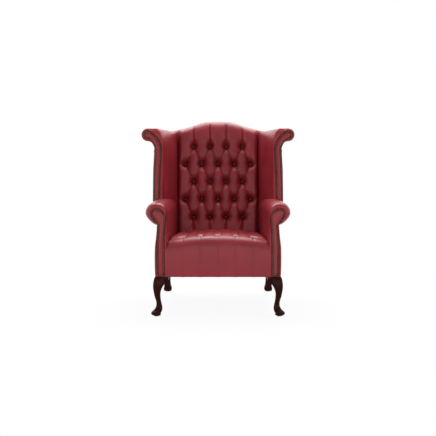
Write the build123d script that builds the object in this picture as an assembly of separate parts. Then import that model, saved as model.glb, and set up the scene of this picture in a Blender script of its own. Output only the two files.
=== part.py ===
from build123d import *
import math
import os

# Seat frame: four rails joined in a box on top of the legs
rail_height = 112.0
rail_thickness = 32.0
frame_half_width = 324.0
frame_front = -388.0
corner_block_side = 70.0
corner_block_height = 60.0
corner_block_drop = 20.0

# Back frame: it leans back from the top of the rails
back_rake = 12.0
back_start = 181.0
back_inset = 80.0
back_pad_depth = 46.0
back_pad_inset = 36.0
back_foot_rise = 23.0
post_depth = 35.0
post_width = 40.0
lower_rail_height = 50.0
crest_rail_drop = 125.0
panel_thickness = 12.0

# Crest: a serpentine top, described from its highest point outward
crest_height = 1055.0
crest_flat_x = 60.0
crest_flat_drop = 1.0
crest_bulge = 2.5
crest_shoulder_x = 125.0
crest_shoulder_drop = 16.0
crest_hollow = 3.0
crest_end_drop = 60.0
crest_round = 26.0
crest_round_depth = 30.0
crest_cover = 30.0
panel_top_drop = 4.0

# Webbing behind the back pad
webbing_thickness = 2.0
webbing_width = 50.0
webbing_columns = 4
webbing_rows = 5
webbing_lap = 14.0

# Buttons and the deep diamonds between them
button_radius = 9.0
button_edge = 5.0
button_dome = 3.0
button_crown = 5.0
pit_radius = 11.0
pit_flare = 6.0
pleat_gap = 2.0
back_diamond_height = 35.0
back_first_row_drop = 156.0
back_channel_rise = 55.0
back_last_row_rise = 88.0
back_side_margin = 45.0
back_rows = 5
back_narrow_row = 4

# Arms: a scroll roll over an inner wall
facing_thickness = 12.0
arm_post_thickness = 32.0
roll_radius = 60.0
roll_height = 546.0
roll_overhang = 1.0
side_gap = 2.0
edge_round = 8.0
edge_round_depth = 14.0
arm_edge_round = 20.0
arm_edge_depth = 46.0
arm_rail_drop = 41.0
arm_rail_height = 50.0

# Arm facing: the nailed front panel of each arm
facing_lap = 10.0
facing_head_radius = 29.0
facing_bend_rise = 58.0
facing_flare = 8.0
facing_neck = 7.0

# Wings: a wall that leans with the back and scrolls outward at its top
wing_depth = 380.0
wing_sink = 11.0
wing_wall_inset = 15.0
wing_side_gap = 43.0
wing_curl_run = 43.0
wing_curl_run_rear = 26.0
wing_shoulder_drop = 67.0
wing_shoulder_drop_rear = 106.0
wing_neck_drop = 50.0
scroll_overhang = 30.0
scroll_drop = 89.0
scroll_radius = 37.0
scroll_overhang_rear = 12.0
scroll_rear_radius = 24.0
wing_board_thickness = 22.0
wing_rail_width = 30.0
wing_rail_height = 35.0
wing_panel_thickness = 6.0

# Wing facing: the nailed strip on the front of each wing
strip_width = 39.0
strip_top_drop = 104.0
strip_sway = 6.0
strip_head_radius = 24.0

# Outside arm panels
side_panel = 11.0
side_panel_waist = -2.0
side_panel_bend_rise = 36.0
side_panel_lap = 14.0

# Seat springs and what covers them
spring_wire = 4.0
spring_count = 5
spring_side_margin = 76.0
spring_half_width = 24.0
spring_step = 30.0
spring_bend_share = 0.45
clip_plate = 1.0
clip_length = 18.0
clip_width = 14.0
clip_gap = 0.15
hessian_thickness = 2.0
hessian_side_gap = 30.0
hessian_lap = 8.0

# Seat pad
seat_height = 434.0
seat_thickness = 104.0
seat_roll_drop = 14.0
seat_front_drop = 64.0
seat_roll_depth = 52.0
seat_crown = 28.0
seat_rear_drop = 31.0
seat_diamond_height = 18.0
seat_valley_run = 28.0
seat_rear_gap = 1.0
seat_first_row_setback = 70.0
seat_rear_margin = 151.0
seat_side_margin = 56.0
seat_rows = 5
seat_narrow_row = 4
seat_border_gap = 2.0
front_pleat_width = 3.0
front_pleat_depth = 3.0

# Legs
glide_height = 5.0
glide_radius = 14.0
knee_width = 60.0
leg_sway = 25.0
front_leg_inset = 19.0
front_leg_setback = 18.0
rear_leg_width = 50.0
rear_leg_splay = 82.0
rear_leg_spread = 6.0
rear_leg_setback = 17.0
ear_width = 40.0
ear_reach = 43.0
ear_height = 64.0
ear_lip = 17.0
bolt_radius = 4.0
bolt_gap = 0.3
bolt_in_leg = 32.0
rear_bolt_setback = 4.0
bolt_in_rail = 40.0

# Nails
nail_radius = 4.75
nail_height = 2.6
nail_crown_share = 0.5
nail_pitch = 11.0
nail_inset = 6.0

# Dust cover under the seat
cover_thickness = 1.5
cover_lap = 12.0
cover_leg_gap = 6.0

# Shares that shape the outlines
# Leg sections: share of the height, of the sway, of the knee's width, and corner rounding
front_leg_shares = (
    (1.0, 0.0, 0.93, 0.16),
    (0.91, 0.25, 1.0, 0.24),
    (0.79, 0.45, 0.95, 0.32),
    (0.69, 0.65, 0.77, 0.38),
    (0.6, 0.72, 0.62, 0.42),
    (0.48, 0.65, 0.52, 0.44),
    (0.33, 0.42, 0.45, 0.46),
    (0.23, 0.35, 0.53, 0.46),
    (0.145, 0.5, 0.7, 0.46),
    (0.072, 0.92, 0.88, 0.46),
    (0.0, 0.85, 0.75, 0.46),
)
# Rear leg sections: share of the height, of the splay, of the spread, and of the width
rear_leg_shares = (
    (1.0, 0.0, 0.0, 1.0),
    (0.69, 0.3, 0.5, 0.88),
    (0.38, 0.61, 1.0, 0.74),
    (0.19, 0.84, 1.0, 0.8),
    (0.072, 0.98, 1.0, 1.0),
    (0.0, 1.0, 1.0, 0.88),
)
rear_leg_corner_share = 0.14
leg_bands = 4
# Diamonds: share of the height, and how far the outline has drawn in
diamond_shares = ((0.0, 0.0), (0.4, 0.08), (0.75, 0.25), (1.0, 0.58))
# Crest rounding: share of its depth, and of its drop that is left
crest_round_shares = ((0.0, 1.0), (0.2, 0.45), (0.55, 0.12), (1.0, 0.0))
# Seat crown: share of the half width, and of the crown that is lost there
seat_crown_shares = ((0.0, 0.0), (0.35, 0.12), (0.7, 0.55), (1.0, 1.0))
seat_roll_share = 0.34
# Facing outlines, in radii of their heads from the head's centre
facing_shoulder_share = -1.17
facing_crown_share = (-1.31, 0.34)
facing_neck_share = -2.3
strip_throat_share = (-1.04, -1.96)
strip_neck_share = -3.6
strip_crown_share = (0.2, 0.6)
wing_crown_share = (0.2, 0.66)
strip_bend_share = 5 / 9
arm_under_share = (0.6, -0.68)
arm_under_end_share = (-0.05, -1.07)
wing_throat_share = (0.08, 0.3)
ear_curve_share = (0.55, 0.6)

# Levels and planes that follow from the sizes above
back_lean = math.tan(math.radians(back_rake))
rail_top = seat_height - seat_thickness - 2 * clip_plate - spring_wire - hessian_thickness
rail_bottom = rail_top - rail_height
frame_inner = frame_half_width - rail_thickness
post_inner = frame_half_width - post_width
back_half_width = frame_half_width - back_inset
back_pad_half_width = frame_half_width - back_pad_inset
back_foot = rail_top + back_foot_rise
crest_rail_bottom = crest_height - crest_rail_drop
post_front = back_pad_depth + 2 * webbing_thickness
post_rear = post_front + post_depth
back_outside = post_rear + panel_thickness
arm_front = frame_front - facing_thickness
arm_post_rear = frame_front + arm_post_thickness
spring_level = rail_top + clip_plate + spring_wire / 2
hessian_bottom = rail_top + 2 * clip_plate + spring_wire
seat_base = hessian_bottom + hessian_thickness
back_first_row = crest_height - back_first_row_drop
back_channel_foot = seat_base + back_channel_rise
back_row_pitch = (back_first_row - back_channel_foot - back_last_row_rise) / (back_rows - 1)
back_column_pitch = 2 * (back_half_width - back_side_margin) / back_narrow_row
seat_front_edge = seat_height - seat_front_drop
seat_border_top = seat_front_edge - seat_crown - seat_border_gap
seat_first_row = arm_front + seat_first_row_setback
seat_row_pitch = (back_start - seat_rear_margin - seat_first_row) / (seat_rows - 1)
seat_column_pitch = 2 * (back_half_width - seat_side_margin) / seat_narrow_row
spring_pitch = 2 * (frame_inner - spring_side_margin) / (spring_count - 1)
hessian_half_width = frame_inner - hessian_side_gap
arm_rail_bottom = roll_height - arm_rail_drop
facing_bend = rail_top + facing_bend_rise
side_panel_bend = rail_top + side_panel_bend_rise
roll_front_x = frame_half_width + roll_overhang
roll_rear_x = back_half_width + side_gap + roll_radius
facing_inner = frame_inner - facing_lap
strip_inner = frame_half_width
strip_outer = strip_inner + strip_width
front_leg_x = frame_half_width - front_leg_inset
front_leg_y = frame_front + front_leg_setback
bolt_x = frame_half_width - rail_thickness / 2
model_reach = crest_height + wing_depth
wing_bottom = roll_height - wing_sink
wing_inner = frame_half_width - wing_wall_inset
wing_outer = frame_half_width + wing_side_gap
scroll_height = crest_height - scroll_drop
scroll_x = wing_outer + scroll_overhang
scroll_rear_x = frame_half_width + side_panel + scroll_overhang_rear
strip_top = scroll_height - strip_top_drop
strip_bend = wing_bottom + (strip_top - wing_bottom) * strip_bend_share
wing_span = wing_depth + post_rear
wing_rear_inner = wing_inner + (back_half_width - wing_inner) * wing_span / wing_depth
wing_rear_outer = frame_half_width + side_panel


def back_y(z, depth):
    """Depth of the leaning back at a height, so far behind the plane of its buttons."""
    return back_start + (z - rail_top) * back_lean + depth


rear_leg_y = back_y(rail_bottom, post_rear) - rear_leg_setback
arm_rear = back_y(roll_height + roll_radius, back_outside)
back_normal = Vector(0, -1, back_lean)


def raked(depth):
    """Puts (x, z) points on the leaning back, so far behind the plane of its buttons."""
    return lambda x, z: Vector(x, back_y(z, depth), z)


def upright(y):
    """Puts (x, z) points on an upright plane that faces forward."""
    return lambda x, z: Vector(x, y, z)


def sideways(x):
    """Puts (y, z) points on an upright plane that faces sideways."""
    return lambda y, z: Vector(x, y, z)


def level(z):
    """Puts (x, y) points on a level plane."""
    return lambda x, y: Vector(x, y, z)


def loop(place, start, *steps):
    """Closed wire. A step is a point, for a line, or a point passed and an end, for an arc."""
    edges = []
    here = start
    last = steps[-1][1] if isinstance(steps[-1][0], tuple) else steps[-1]
    closing = () if last == start else (start,)
    for step in steps + closing:
        if isinstance(step[0], tuple):
            via, there = step
            edges.append(Edge.make_three_point_arc(place(*here), place(*via), place(*there)))
        else:
            there = step
            edges.append(Edge.make_line(place(*here), place(*there)))
        here = there
    return Wire(edges)


def prism(wire, x=0, y=0, z=0):
    """The solid that a wire's face sweeps along a straight way."""
    return Solid.extrude(Face(wire), Vector(x, y, z))


def block(x_span, y_span, z_span):
    """A box between two values on each axis."""
    low = Vector(x_span[0], y_span[0], z_span[0])
    size = Vector(x_span[1], y_span[1], z_span[1]) - low
    return Solid.make_box(size.X, size.Y, size.Z, Plane(low))


def raked_bar(x_span, depth_span, z_span):
    """A bar between two depths of the leaning back, with level ends."""
    corners = [(back_y(z, depth_span[0]), z) for z in z_span]
    corners += [(back_y(z, depth_span[1]), z) for z in reversed(z_span)]
    return prism(loop(sideways(x_span[0]), *corners), x=x_span[1] - x_span[0])


def circle_point(centre, radius, degrees):
    """A point on a circle round a centre, as a pair."""
    turn = math.radians(degrees)
    return (centre[0] + radius * math.cos(turn), centre[1] + radius * math.sin(turn))


def quarter(centre, radius, start):
    """One arc step: the quarter turn down from a start angle."""
    return (circle_point(centre, radius, start - 45), circle_point(centre, radius, start - 90))


def without(shape, *others):
    """The shape with other shapes cut away, as one compound."""
    left = shape - list(others)
    return Compound(list(left.solids()))


def joined(*shapes):
    """The shapes as one solid."""
    whole = shapes[0].fuse(*shapes[1:])
    return Compound(list(whole.solids()))


def mirrored(shape):
    """The same piece for the other side of the chair."""
    return shape.mirror(Plane.YZ)


def both(shape):
    """A piece and its mirror image, as a list."""
    return [shape, mirrored(shape)]


def group(shapes):
    """Separate solids kept together in one node."""
    return Compound([solid for shape in shapes for solid in shape.solids()])


parts = {}


def keep_pair(name, shape):
    """Keeps the right piece and its mirror image, named for their sides."""
    parts["right_" + name] = shape
    parts["left_" + name] = mirrored(shape)


# Spaces that other pieces are cut back from
far = 2 * model_reach
behind_back = raked_bar((-far, far), (post_rear, far), (-far, far))
frame_space = raked_bar((0, frame_half_width), (back_pad_depth, far), (-far, crest_rail_bottom))
back_pad_space = raked_bar((0, back_pad_half_width), (0, far), (-far, far))


def legs():
    """Four legs with their knee blocks, glides and bolts."""
    foot = glide_height
    rise = rail_bottom - foot
    front_sections = []
    for height, sway, width, corner in front_leg_shares:
        centre = (front_leg_x + leg_sway * sway, front_leg_y - leg_sway * sway, foot + rise * height)
        side = knee_width * width
        outline = RectangleRounded(side, side, side * corner)
        front_sections.append((Plane(centre) * outline).face().outer_wire())
    front = Solid.make_loft(front_sections)
    rear_sections = []
    for height, splay, spread, width in smoothed(rear_leg_shares):
        centre = (bolt_x + rear_leg_spread * spread, rear_leg_y + rear_leg_splay * splay,
                  foot + rise * height)
        side = rear_leg_width * width
        outline = RectangleRounded(side, side, side * rear_leg_corner_share)
        rear_sections.append((Plane(centre) * outline).face().outer_wire())
    rear = Solid.make_loft(rear_sections, ruled=True)

    glides = []
    for x, y in foot_places():
        glides += both(Solid.make_cylinder(glide_radius, glide_height, Plane((x, y, 0))))
    parts["foot_glides"] = group(glides)

    bolts = []
    for x, y in bolt_places():
        low = Plane((x, y, rail_bottom - bolt_in_leg))
        bolts += both(Solid.make_cylinder(bolt_radius, bolt_in_leg + bolt_in_rail, low))
    parts["leg_bolts"] = group(bolts)
    keep_pair("front_leg", without(front, bolt_hole(0)))
    keep_pair("rear_leg", without(rear, bolt_hole(1)))

    reach = ear_reach
    drop = rail_bottom - ear_height
    curve = (reach * ear_curve_share[0], rail_bottom - ear_height * ear_curve_share[1])
    ear = ((0, drop), (0, rail_bottom), (reach, rail_bottom), (reach, rail_bottom - ear_lip))
    inner_points = [(front_leg_x - u, v) for u, v in ear]
    inner_end = ((front_leg_x - curve[0], curve[1]), inner_points[0])
    inner = prism(loop(upright(front_leg_y - ear_width / 2), *inner_points, inner_end), y=ear_width)
    rear_points = [(front_leg_y + u, v) for u, v in ear]
    rear_end = ((front_leg_y + curve[0], curve[1]), rear_points[0])
    back = prism(loop(sideways(front_leg_x - ear_width / 2), *rear_points, rear_end), x=ear_width)
    inner = without(inner, front, bolt_hole(0))
    back = without(back, front, inner, bolt_hole(0))
    parts["knee_blocks"] = group([biggest(ear) for side in (inner, back) for ear in both(side)])


def smoothed(rows):
    """The rows of a table with smooth rows added between them."""
    table = []
    for index in range(len(rows) - 1):
        before, here = rows[max(index - 1, 0)], rows[index]
        there, after = rows[index + 1], rows[min(index + 2, len(rows) - 1)]
        for part in range(leg_bands):
            t = part / leg_bands
            row = []
            for a, b, c, d in zip(before, here, there, after):
                bend = 2 * a - 5 * b + 4 * c - d
                row.append(b + t * (c - a + t * (bend + t * (3 * b - 3 * c + d - a))) / 2)
            table.append(row)
    return table + [rows[-1]]


def biggest(shape):
    """The largest solid of a shape."""
    return max(shape.solids(), key=lambda solid: solid.volume)


def foot_places():
    """Centres of the right front and right rear feet."""
    sway = leg_sway * front_leg_shares[-1][1]
    rear = (bolt_x + rear_leg_spread * rear_leg_shares[-1][2],
            rear_leg_y + rear_leg_splay * rear_leg_shares[-1][1])
    return ((front_leg_x + sway, front_leg_y - sway), rear)


def bolt_places():
    """Centres of the right front and right rear bolts."""
    return ((bolt_x, frame_front + rail_thickness / 2), (bolt_x, rear_leg_y + rear_bolt_setback))


def bolt_hole(index):
    """The clearance hole for one right-hand bolt."""
    x, y = bolt_places()[index]
    low = Plane((x, y, rail_bottom - bolt_in_leg - bolt_gap))
    return Solid.make_cylinder(bolt_radius + bolt_gap, bolt_in_leg + bolt_in_rail + 2 * bolt_gap, low)


def seat_frame():
    """Front, rear and side rails, and the blocks glued into their corners."""
    span = (rail_bottom, rail_top)
    holes = [hole for index in (0, 1) for hole in both(bolt_hole(index))]
    rail_rear = frame_front + rail_thickness
    front = block((-frame_half_width, frame_half_width), (frame_front, rail_rear), span)
    parts["front_seat_rail"] = without(front, *holes)
    rear = raked_bar((-frame_inner, frame_inner), (post_rear - rail_thickness, post_rear), span)
    parts["rear_seat_rail"] = rear
    ends = [(back_y(z, post_rear), z) for z in span]
    side = prism(loop(sideways(frame_inner), (rail_rear, span[0]), ends[0], ends[1], (rail_rear, span[1])),
                 x=rail_thickness)
    keep_pair("seat_rail", without(side, *holes))

    top = rail_top - corner_block_drop
    low = level(top - corner_block_height)
    near = rail_rear + corner_block_side
    front_block = prism(loop(low, (frame_inner, rail_rear), (frame_inner, near),
                             (frame_inner - corner_block_side, rail_rear)), z=corner_block_height)
    rear_face = back_y(rail_top, post_rear - rail_thickness)
    rear_block = prism(loop(low, (frame_inner, rear_face), (frame_inner, rear_face - corner_block_side),
                            (frame_inner - corner_block_side, rear_face)), z=corner_block_height)
    rear_block = biggest(without(rear_block, raked_bar(
        (0, frame_inner), (post_rear - rail_thickness, far), (0, model_reach))))
    parts["corner_blocks"] = group(both(front_block) + both(rear_block))


def crest_outline(half_width, bottom, drop, place):
    """Outline of the back up to its serpentine crest, lowered by drop."""
    top = crest_height - drop
    end = (half_width, top - crest_end_drop)
    shoulder = (crest_shoulder_x, top - crest_shoulder_drop)
    flat = (crest_flat_x, top - crest_flat_drop)
    hollow = ((end[0] + shoulder[0]) / 2, (end[1] + shoulder[1]) / 2 - crest_hollow)
    bulge = ((shoulder[0] + flat[0]) / 2, (shoulder[1] + flat[1]) / 2 + crest_bulge)

    def other(point):
        return (-point[0], point[1])

    return loop(place, (half_width, bottom), end, (hollow, shoulder), (bulge, flat), ((0, top), other(flat)),
                (other(bulge), other(shoulder)), (other(hollow), other(end)), (-half_width, bottom))


def back_frame():
    """Posts, crest rail, lower rail, webbing and the outside back."""
    post = raked_bar((post_inner, frame_half_width), (post_front, post_rear), (rail_top, crest_rail_bottom))
    keep_pair("back_post", post)
    crest = crest_outline(frame_half_width, crest_rail_bottom, crest_cover, raked(post_front))
    parts["crest_rail"] = prism(crest, y=post_depth)
    parts["lower_back_rail"] = raked_bar((-post_inner, post_inner), (post_front, post_rear),
                                         (back_foot, back_foot + lower_rail_height))
    outside = crest_outline(wing_rear_outer, rail_bottom, panel_top_drop, raked(post_rear))
    parts["outside_back_panel"] = prism(outside, y=panel_thickness)

    low = back_foot + webbing_lap
    high = crest_rail_bottom + webbing_lap
    strips = []
    for column in range(webbing_columns):
        middle = post_inner * ((2 * column + 1) / webbing_columns - 1)
        strips.append(raked_bar((middle - webbing_width / 2, middle + webbing_width / 2),
                                (back_pad_depth, back_pad_depth + webbing_thickness), (low, high)))
    reach = (post_inner + frame_inner) / 2
    pitch = (high - low) / webbing_rows
    for row in range(webbing_rows):
        middle = low + pitch * (row + 1 / 2)
        strips.append(raked_bar((-reach, reach), (back_pad_depth + webbing_thickness, post_front),
                                (middle - webbing_width / 2, middle + webbing_width / 2)))
    parts["back_webbing"] = group(strips)


def arm_section(roll_x, wall_inset, roll_inset, y):
    """Outline of an arm: its inner wall and its roll, each drawn in by its inset."""
    radius = roll_radius - (wall_inset + roll_inset) / 2
    centre = (roll_x + (wall_inset - roll_inset) / 2, roll_height)

    def from_roll(share):
        return (centre[0] + radius * share[0], centre[1] + radius * share[1])

    under = from_roll(arm_under_end_share)
    return loop(upright(y), (centre[0] - radius, seat_base), (centre[0] - radius, roll_height),
                quarter(centre, radius, 180), quarter(centre, radius, 90),
                (from_roll(arm_under_share), under),
                (frame_inner, under[1]), (frame_inner, seat_base))


def arm_envelope():
    """The whole arm, from its rounded front edge to the back."""
    fronts = (arm_section(roll_front_x, edge_round, arm_edge_round, arm_front),
              arm_section(roll_front_x, 0, 0, arm_front + arm_edge_depth))
    rear = arm_section(roll_rear_x, 0, 0, arm_rear)
    whole = joined(Solid.make_loft(fronts, ruled=True), Solid.make_loft((fronts[1], rear), ruled=True))
    return without(whole, behind_back)


def facing_outline(bottom, y):
    """Outline of the nailed arm front, with its round head."""
    head = (roll_front_x, roll_height)
    radius = facing_head_radius

    def from_head(share):
        return (head[0] + radius * share[0], head[1] + radius * share[1])

    shoulder = (facing_inner - facing_flare, head[1] + radius * facing_shoulder_share)
    neck = (frame_half_width - facing_neck, head[1] + radius * facing_neck_share)
    start = circle_point(head, radius, 90)
    return loop(upright(y), (facing_inner, bottom), (facing_inner, facing_bend), shoulder,
                (from_head(facing_crown_share), start), quarter(head, radius, 90),
                (circle_point(head, radius, -18), circle_point(head, radius, -36)), neck,
                (frame_half_width, facing_bend), (frame_half_width, bottom))


def wing_section(depth, inset, inner, run, shoulder, centre, radius, outer):
    """Outline of a wing: its wall, the curl at its top and its scroll, drawn in by inset."""
    inner, outer, radius = inner + inset, outer - inset, radius - inset
    top = centre[1] + radius
    bottom = centre[1] - radius
    crown = (inner + run * wing_crown_share[0], shoulder + (top - shoulder) * wing_crown_share[1])
    throat = (outer + (centre[0] - outer) * wing_throat_share[0],
              bottom - wing_neck_drop * wing_throat_share[1])
    return loop(raked(depth), (inner, wing_bottom), (inner, shoulder), (crown, (inner + run, top)),
                (centre[0], top), quarter(centre, radius, 90), quarter(centre, radius, 0),
                (throat, (outer, bottom - wing_neck_drop)), (outer, wing_bottom))


def wing_envelope():
    """The whole wing, from its rounded front edge to the back."""
    scroll = (scroll_x, scroll_height)
    shoulder = scroll_height - wing_shoulder_drop
    rear_shoulder = scroll_height - wing_shoulder_drop_rear
    front = (wing_inner, wing_curl_run, shoulder, scroll, scroll_radius, wing_outer)
    fronts = (wing_section(-wing_depth, edge_round, *front),
              wing_section(edge_round_depth - wing_depth, 0, *front))
    rear = wing_section(post_rear, 0, wing_rear_inner, wing_curl_run_rear, rear_shoulder,
                        (scroll_rear_x, scroll_height), scroll_rear_radius, wing_rear_outer)
    return joined(Solid.make_loft(fronts, ruled=True), Solid.make_loft((fronts[1], rear), ruled=True))


def strip_outline(depth):
    """Outline of the nailed wing front, with its curled head."""
    head = (scroll_x, scroll_height)
    radius = strip_head_radius
    start = circle_point(head, radius, 90)
    inner = (strip_inner - strip_sway, strip_top)
    crown = (inner[0] + (start[0] - inner[0]) * strip_crown_share[0],
             inner[1] + (start[1] - inner[1]) * strip_crown_share[1])
    throat = (head[0] + radius * strip_throat_share[0], head[1] + radius * strip_throat_share[1])
    neck = (strip_outer - strip_sway, head[1] + radius * strip_neck_share)
    return loop(raked(depth), (strip_inner, wing_bottom), (strip_inner, strip_bend), inner, (crown, start),
                quarter(head, radius, 90), quarter(head, radius, 0), (throat, neck),
                (strip_outer, strip_bend),
                (strip_outer, wing_bottom))


def wing_side_panel(inner_face):
    """The outer skin of a wing below its scroll, as thick as asked."""
    ends = []
    for depth, outer, radius in ((-wing_depth, wing_outer, scroll_radius),
                                 (post_rear, wing_rear_outer, scroll_rear_radius)):
        top = scroll_height - radius - wing_neck_drop
        ends.append(loop(raked(depth), (outer - inner_face, wing_bottom), (outer - inner_face, top),
                         (outer, top), (outer, wing_bottom)))
    return Solid.make_loft(ends, ruled=True)


def tuft_cells(rows, narrow, pitch, first_is_narrow, edge, ends):
    """Buttons and the cells between them, for rows of narrow and narrow + 1 buttons in turn."""
    def columns(row):
        is_narrow = (row % 2 == 0) == first_is_narrow
        count = narrow if is_narrow else narrow + 1
        return [pitch * (index - (count - 1) / 2) for index in range(count)]

    buttons = [(x, row) for row in range(len(rows)) for x in columns(row)]
    spots = [(x, rows[row]) for x, row in buttons]
    known = {(round(2 * x / pitch), row) for x, row in buttons}
    cells = []
    for x, row in buttons:
        key = round(2 * x / pitch)
        if all(spot in known for spot in ((key, row + 2), (key - 1, row + 1), (key + 1, row + 1))):
            cells.append([(x, rows[row]), (x + pitch / 2, rows[row + 1]), (x, rows[row + 2]),
                          (x - pitch / 2, rows[row + 1])])
    for row, beside, end in ((0, 1, ends[0]), (len(rows) - 1, len(rows) - 2, ends[1])):
        if end is None:
            continue
        places = columns(row)
        for left, right in zip(places, places[1:]):
            cells.append([(left, rows[row]), (left, end), (right, end), (right, rows[row]),
                          ((left + right) / 2, rows[beside])])
        wide = max(columns(beside))
        if wide > places[-1]:
            corner = [(places[-1], end), (edge, end), (edge, rows[beside]), (wide, rows[beside]),
                      (places[-1], rows[row])]
        else:
            corner = [(places[-1], end), (edge, end), (edge, rows[row]), (places[-1], rows[row])]
        cells += [corner, [(-x, v) for x, v in corner]]
    for row in range(len(rows) - 2):
        wide, narrow_edge = columns(row)[-1], columns(row + 1)[-1]
        if wide > narrow_edge:
            side = [(wide, rows[row]), (edge, rows[row]), (edge, rows[row + 2]), (wide, rows[row + 2]),
                    (narrow_edge, rows[row + 1])]
            cells += [side, [(-x, v) for x, v in side]]
    return spots, cells


def diamond(cell, place, height):
    """One stuffed cell: its outline drawn in step by step as it rises."""
    middle_u = sum(u for u, v in cell) / len(cell)
    middle_v = sum(v for u, v in cell) / len(cell)
    reach = min(math.hypot(u - middle_u, v - middle_v) for u, v in cell)
    start = 1 - pleat_gap / 2 / reach
    wires = []
    for rise, drawn_in in diamond_shares:
        scale = start * (1 - drawn_in)
        corners = [(middle_u + (u - middle_u) * scale, middle_v + (v - middle_v) * scale) for u, v in cell]
        wires.append(loop(place(height * rise), *corners))
    return Solid.make_loft(wires, ruled=True)


def button(place, normal):
    """A domed, covered button standing on a surface."""
    base = Plane(origin=place, z_dir=normal)
    edge = Solid.make_cylinder(button_radius, button_edge, base)
    dome = Solid.make_cone(button_radius, button_crown, button_dome, base.offset(button_edge))
    return edge.fuse(dome)


def pit(place, normal, depth):
    """The flared hollow round a button."""
    base = Plane(origin=place, z_dir=normal)
    return Solid.make_cone(pit_radius, pit_radius + pit_flare, depth, base)


def back_cells():
    """Button places and cells of the inside back, as (x, height) pairs."""
    rows = [back_first_row - back_row_pitch * row for row in range(back_rows)]
    crest_line = crest_height - crest_end_drop / 2 - crest_round
    edge = back_half_width - side_gap
    return tuft_cells(rows, back_narrow_row, back_column_pitch, True, edge, (crest_line, back_channel_foot))


def back_pad():
    """The deep-buttoned inside back and its cover over the crest rail."""
    sections = [crest_outline(back_pad_half_width, back_foot, crest_round * drop,
                              raked(crest_round_depth * depth)) for depth, drop in crest_round_shares]
    sections.append(crest_outline(back_pad_half_width, back_foot, 0, raked(post_rear)))
    slab = Solid.make_loft(sections, ruled=True)
    rail = crest_outline(frame_half_width, crest_rail_bottom, crest_cover, raked(back_pad_depth))
    room = raked_bar((-far, far), (back_pad_depth, far), (-far, crest_rail_bottom))
    slab = without(slab, prism(rail, y=far), room)
    spots, cells = back_cells()
    stuffed = [diamond(cell, lambda rise: raked(-rise), back_diamond_height) for cell in cells]
    pad = joined(slab, *stuffed)
    places = [raked(0)(*spot) for spot in spots]
    pad = without(pad, *[pit(place, back_normal, back_diamond_height + pit_flare) for place in places])
    parts["back_pad"] = Compound([biggest(pad)])
    parts["back_buttons"] = group([button(place, back_normal) for place in places])


def seat_level(x):
    """How far the seat's top has fallen at a place across it."""
    share = min(abs(x) / facing_inner, 1)
    for (near, lost), (next_near, next_lost) in zip(seat_crown_shares, seat_crown_shares[1:]):
        if share <= next_near:
            return seat_crown * (lost + (next_lost - lost) * (share - near) / (next_near - near))
    return seat_crown


def seat_slope(y):
    """How far the seat's top has fallen toward the back."""
    start = arm_front + seat_roll_depth
    return seat_rear_drop * (y - start) / (back_start - start)


def seat_section(x):
    """Outline of the seat from front to rear at a place across it."""
    top = seat_height - seat_level(x)
    front_edge = seat_front_edge - seat_level(x)
    roll_rear = arm_front + seat_roll_depth
    roll_top = top - seat_roll_drop
    roll_via = (arm_front + seat_roll_depth * seat_roll_share,
                roll_top - (roll_top - front_edge) * seat_roll_share)
    valley = top - seat_diamond_height
    rear = back_y(valley - seat_rear_drop, -back_diamond_height - seat_rear_gap)
    rear_low = back_y(seat_base, -back_diamond_height - seat_rear_gap)
    valley_front = roll_rear + seat_valley_run
    return loop(sideways(x), (arm_front, seat_base), (arm_front, front_edge),
                (roll_via, (roll_rear, roll_top)),
                (valley_front, valley - seat_slope(valley_front)), (rear, valley - seat_slope(rear)),
                (rear_low, seat_base))


def seat_plane(z):
    """Puts (x, y) points on a plane that falls toward the back."""
    return lambda x, y: Vector(x, y, z - seat_slope(y))


def seat_cells():
    """Button places and cells of the seat, as (x, y) pairs."""
    rows = [seat_first_row + seat_row_pitch * row for row in range(seat_rows)]
    edge = back_half_width - side_gap
    rear = back_y(seat_base, -back_diamond_height - 2 * seat_rear_gap - pleat_gap)
    return tuft_cells(rows, seat_narrow_row, seat_column_pitch, False, edge, (None, rear))


def seat_pad(arms):
    """The sprung seat: front border, rolled edge, crown and buttoned top."""
    places = sorted({side * share * facing_inner for share, _ in seat_crown_shares for side in (-1, 1)})
    body = Solid.make_loft([seat_section(x) for x in places], ruled=True)
    border = block((-facing_inner, facing_inner), (arm_front, frame_front), (rail_bottom, seat_border_top))
    spots, cells = seat_cells()
    stuffed = []
    for cell in cells:
        middle = sum(x for x, y in cell) / len(cell)
        base = seat_height - seat_diamond_height - seat_level(middle) - pleat_gap
        height = seat_diamond_height + pleat_gap
        stuffed.append(diamond(cell, lambda rise, base=base: seat_plane(base + rise), height))
    pad = joined(without(joined(body, *stuffed), *both(arms)), border)
    up = Vector(0, 0, 1)
    grounds = [seat_plane(seat_height - seat_diamond_height - seat_level(x))(x, y) for x, y in spots]
    pits = [pit(ground, up, seat_diamond_height + pit_flare) for ground in grounds]
    wedge = front_pleat_width / 2
    pleats = []
    for x in sorted({spot[0] for spot in spots if spot[1] == seat_first_row}):
        cut = loop(level(rail_bottom), (x - wedge, arm_front), (x + wedge, arm_front),
                   (x, arm_front + front_pleat_depth))
        pleats.append(prism(cut, z=seat_front_edge - seat_crown - rail_bottom))
    pad = without(pad, *pits, *pleats)
    parts["seat_pad"] = Compound([biggest(pad)])
    parts["seat_buttons"] = group([button(ground, up) for ground in grounds])
    return border


def spaced_nails(wire, normal, keep):
    """Nails at an even pitch round a wire, where keep allows one."""
    count = round(wire.length / nail_pitch)
    nails = []
    for index in range(count):
        place = wire.position_at(index / count)
        if keep(place):
            base = Plane(origin=place, z_dir=normal)
            nails.append(Solid.make_cone(nail_radius, nail_radius * nail_crown_share, nail_height, base))
    return group(nails)


def clear_of_arm(place):
    """True where a nail on a wing's front stands clear above the arm's roll."""
    share = (place.Y - arm_front) / (arm_rear - arm_front)
    centre = roll_front_x + (roll_rear_x - roll_front_x) * share
    return math.hypot(place.X - centre, place.Z - roll_height) > roll_radius + 2 * nail_radius


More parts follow.
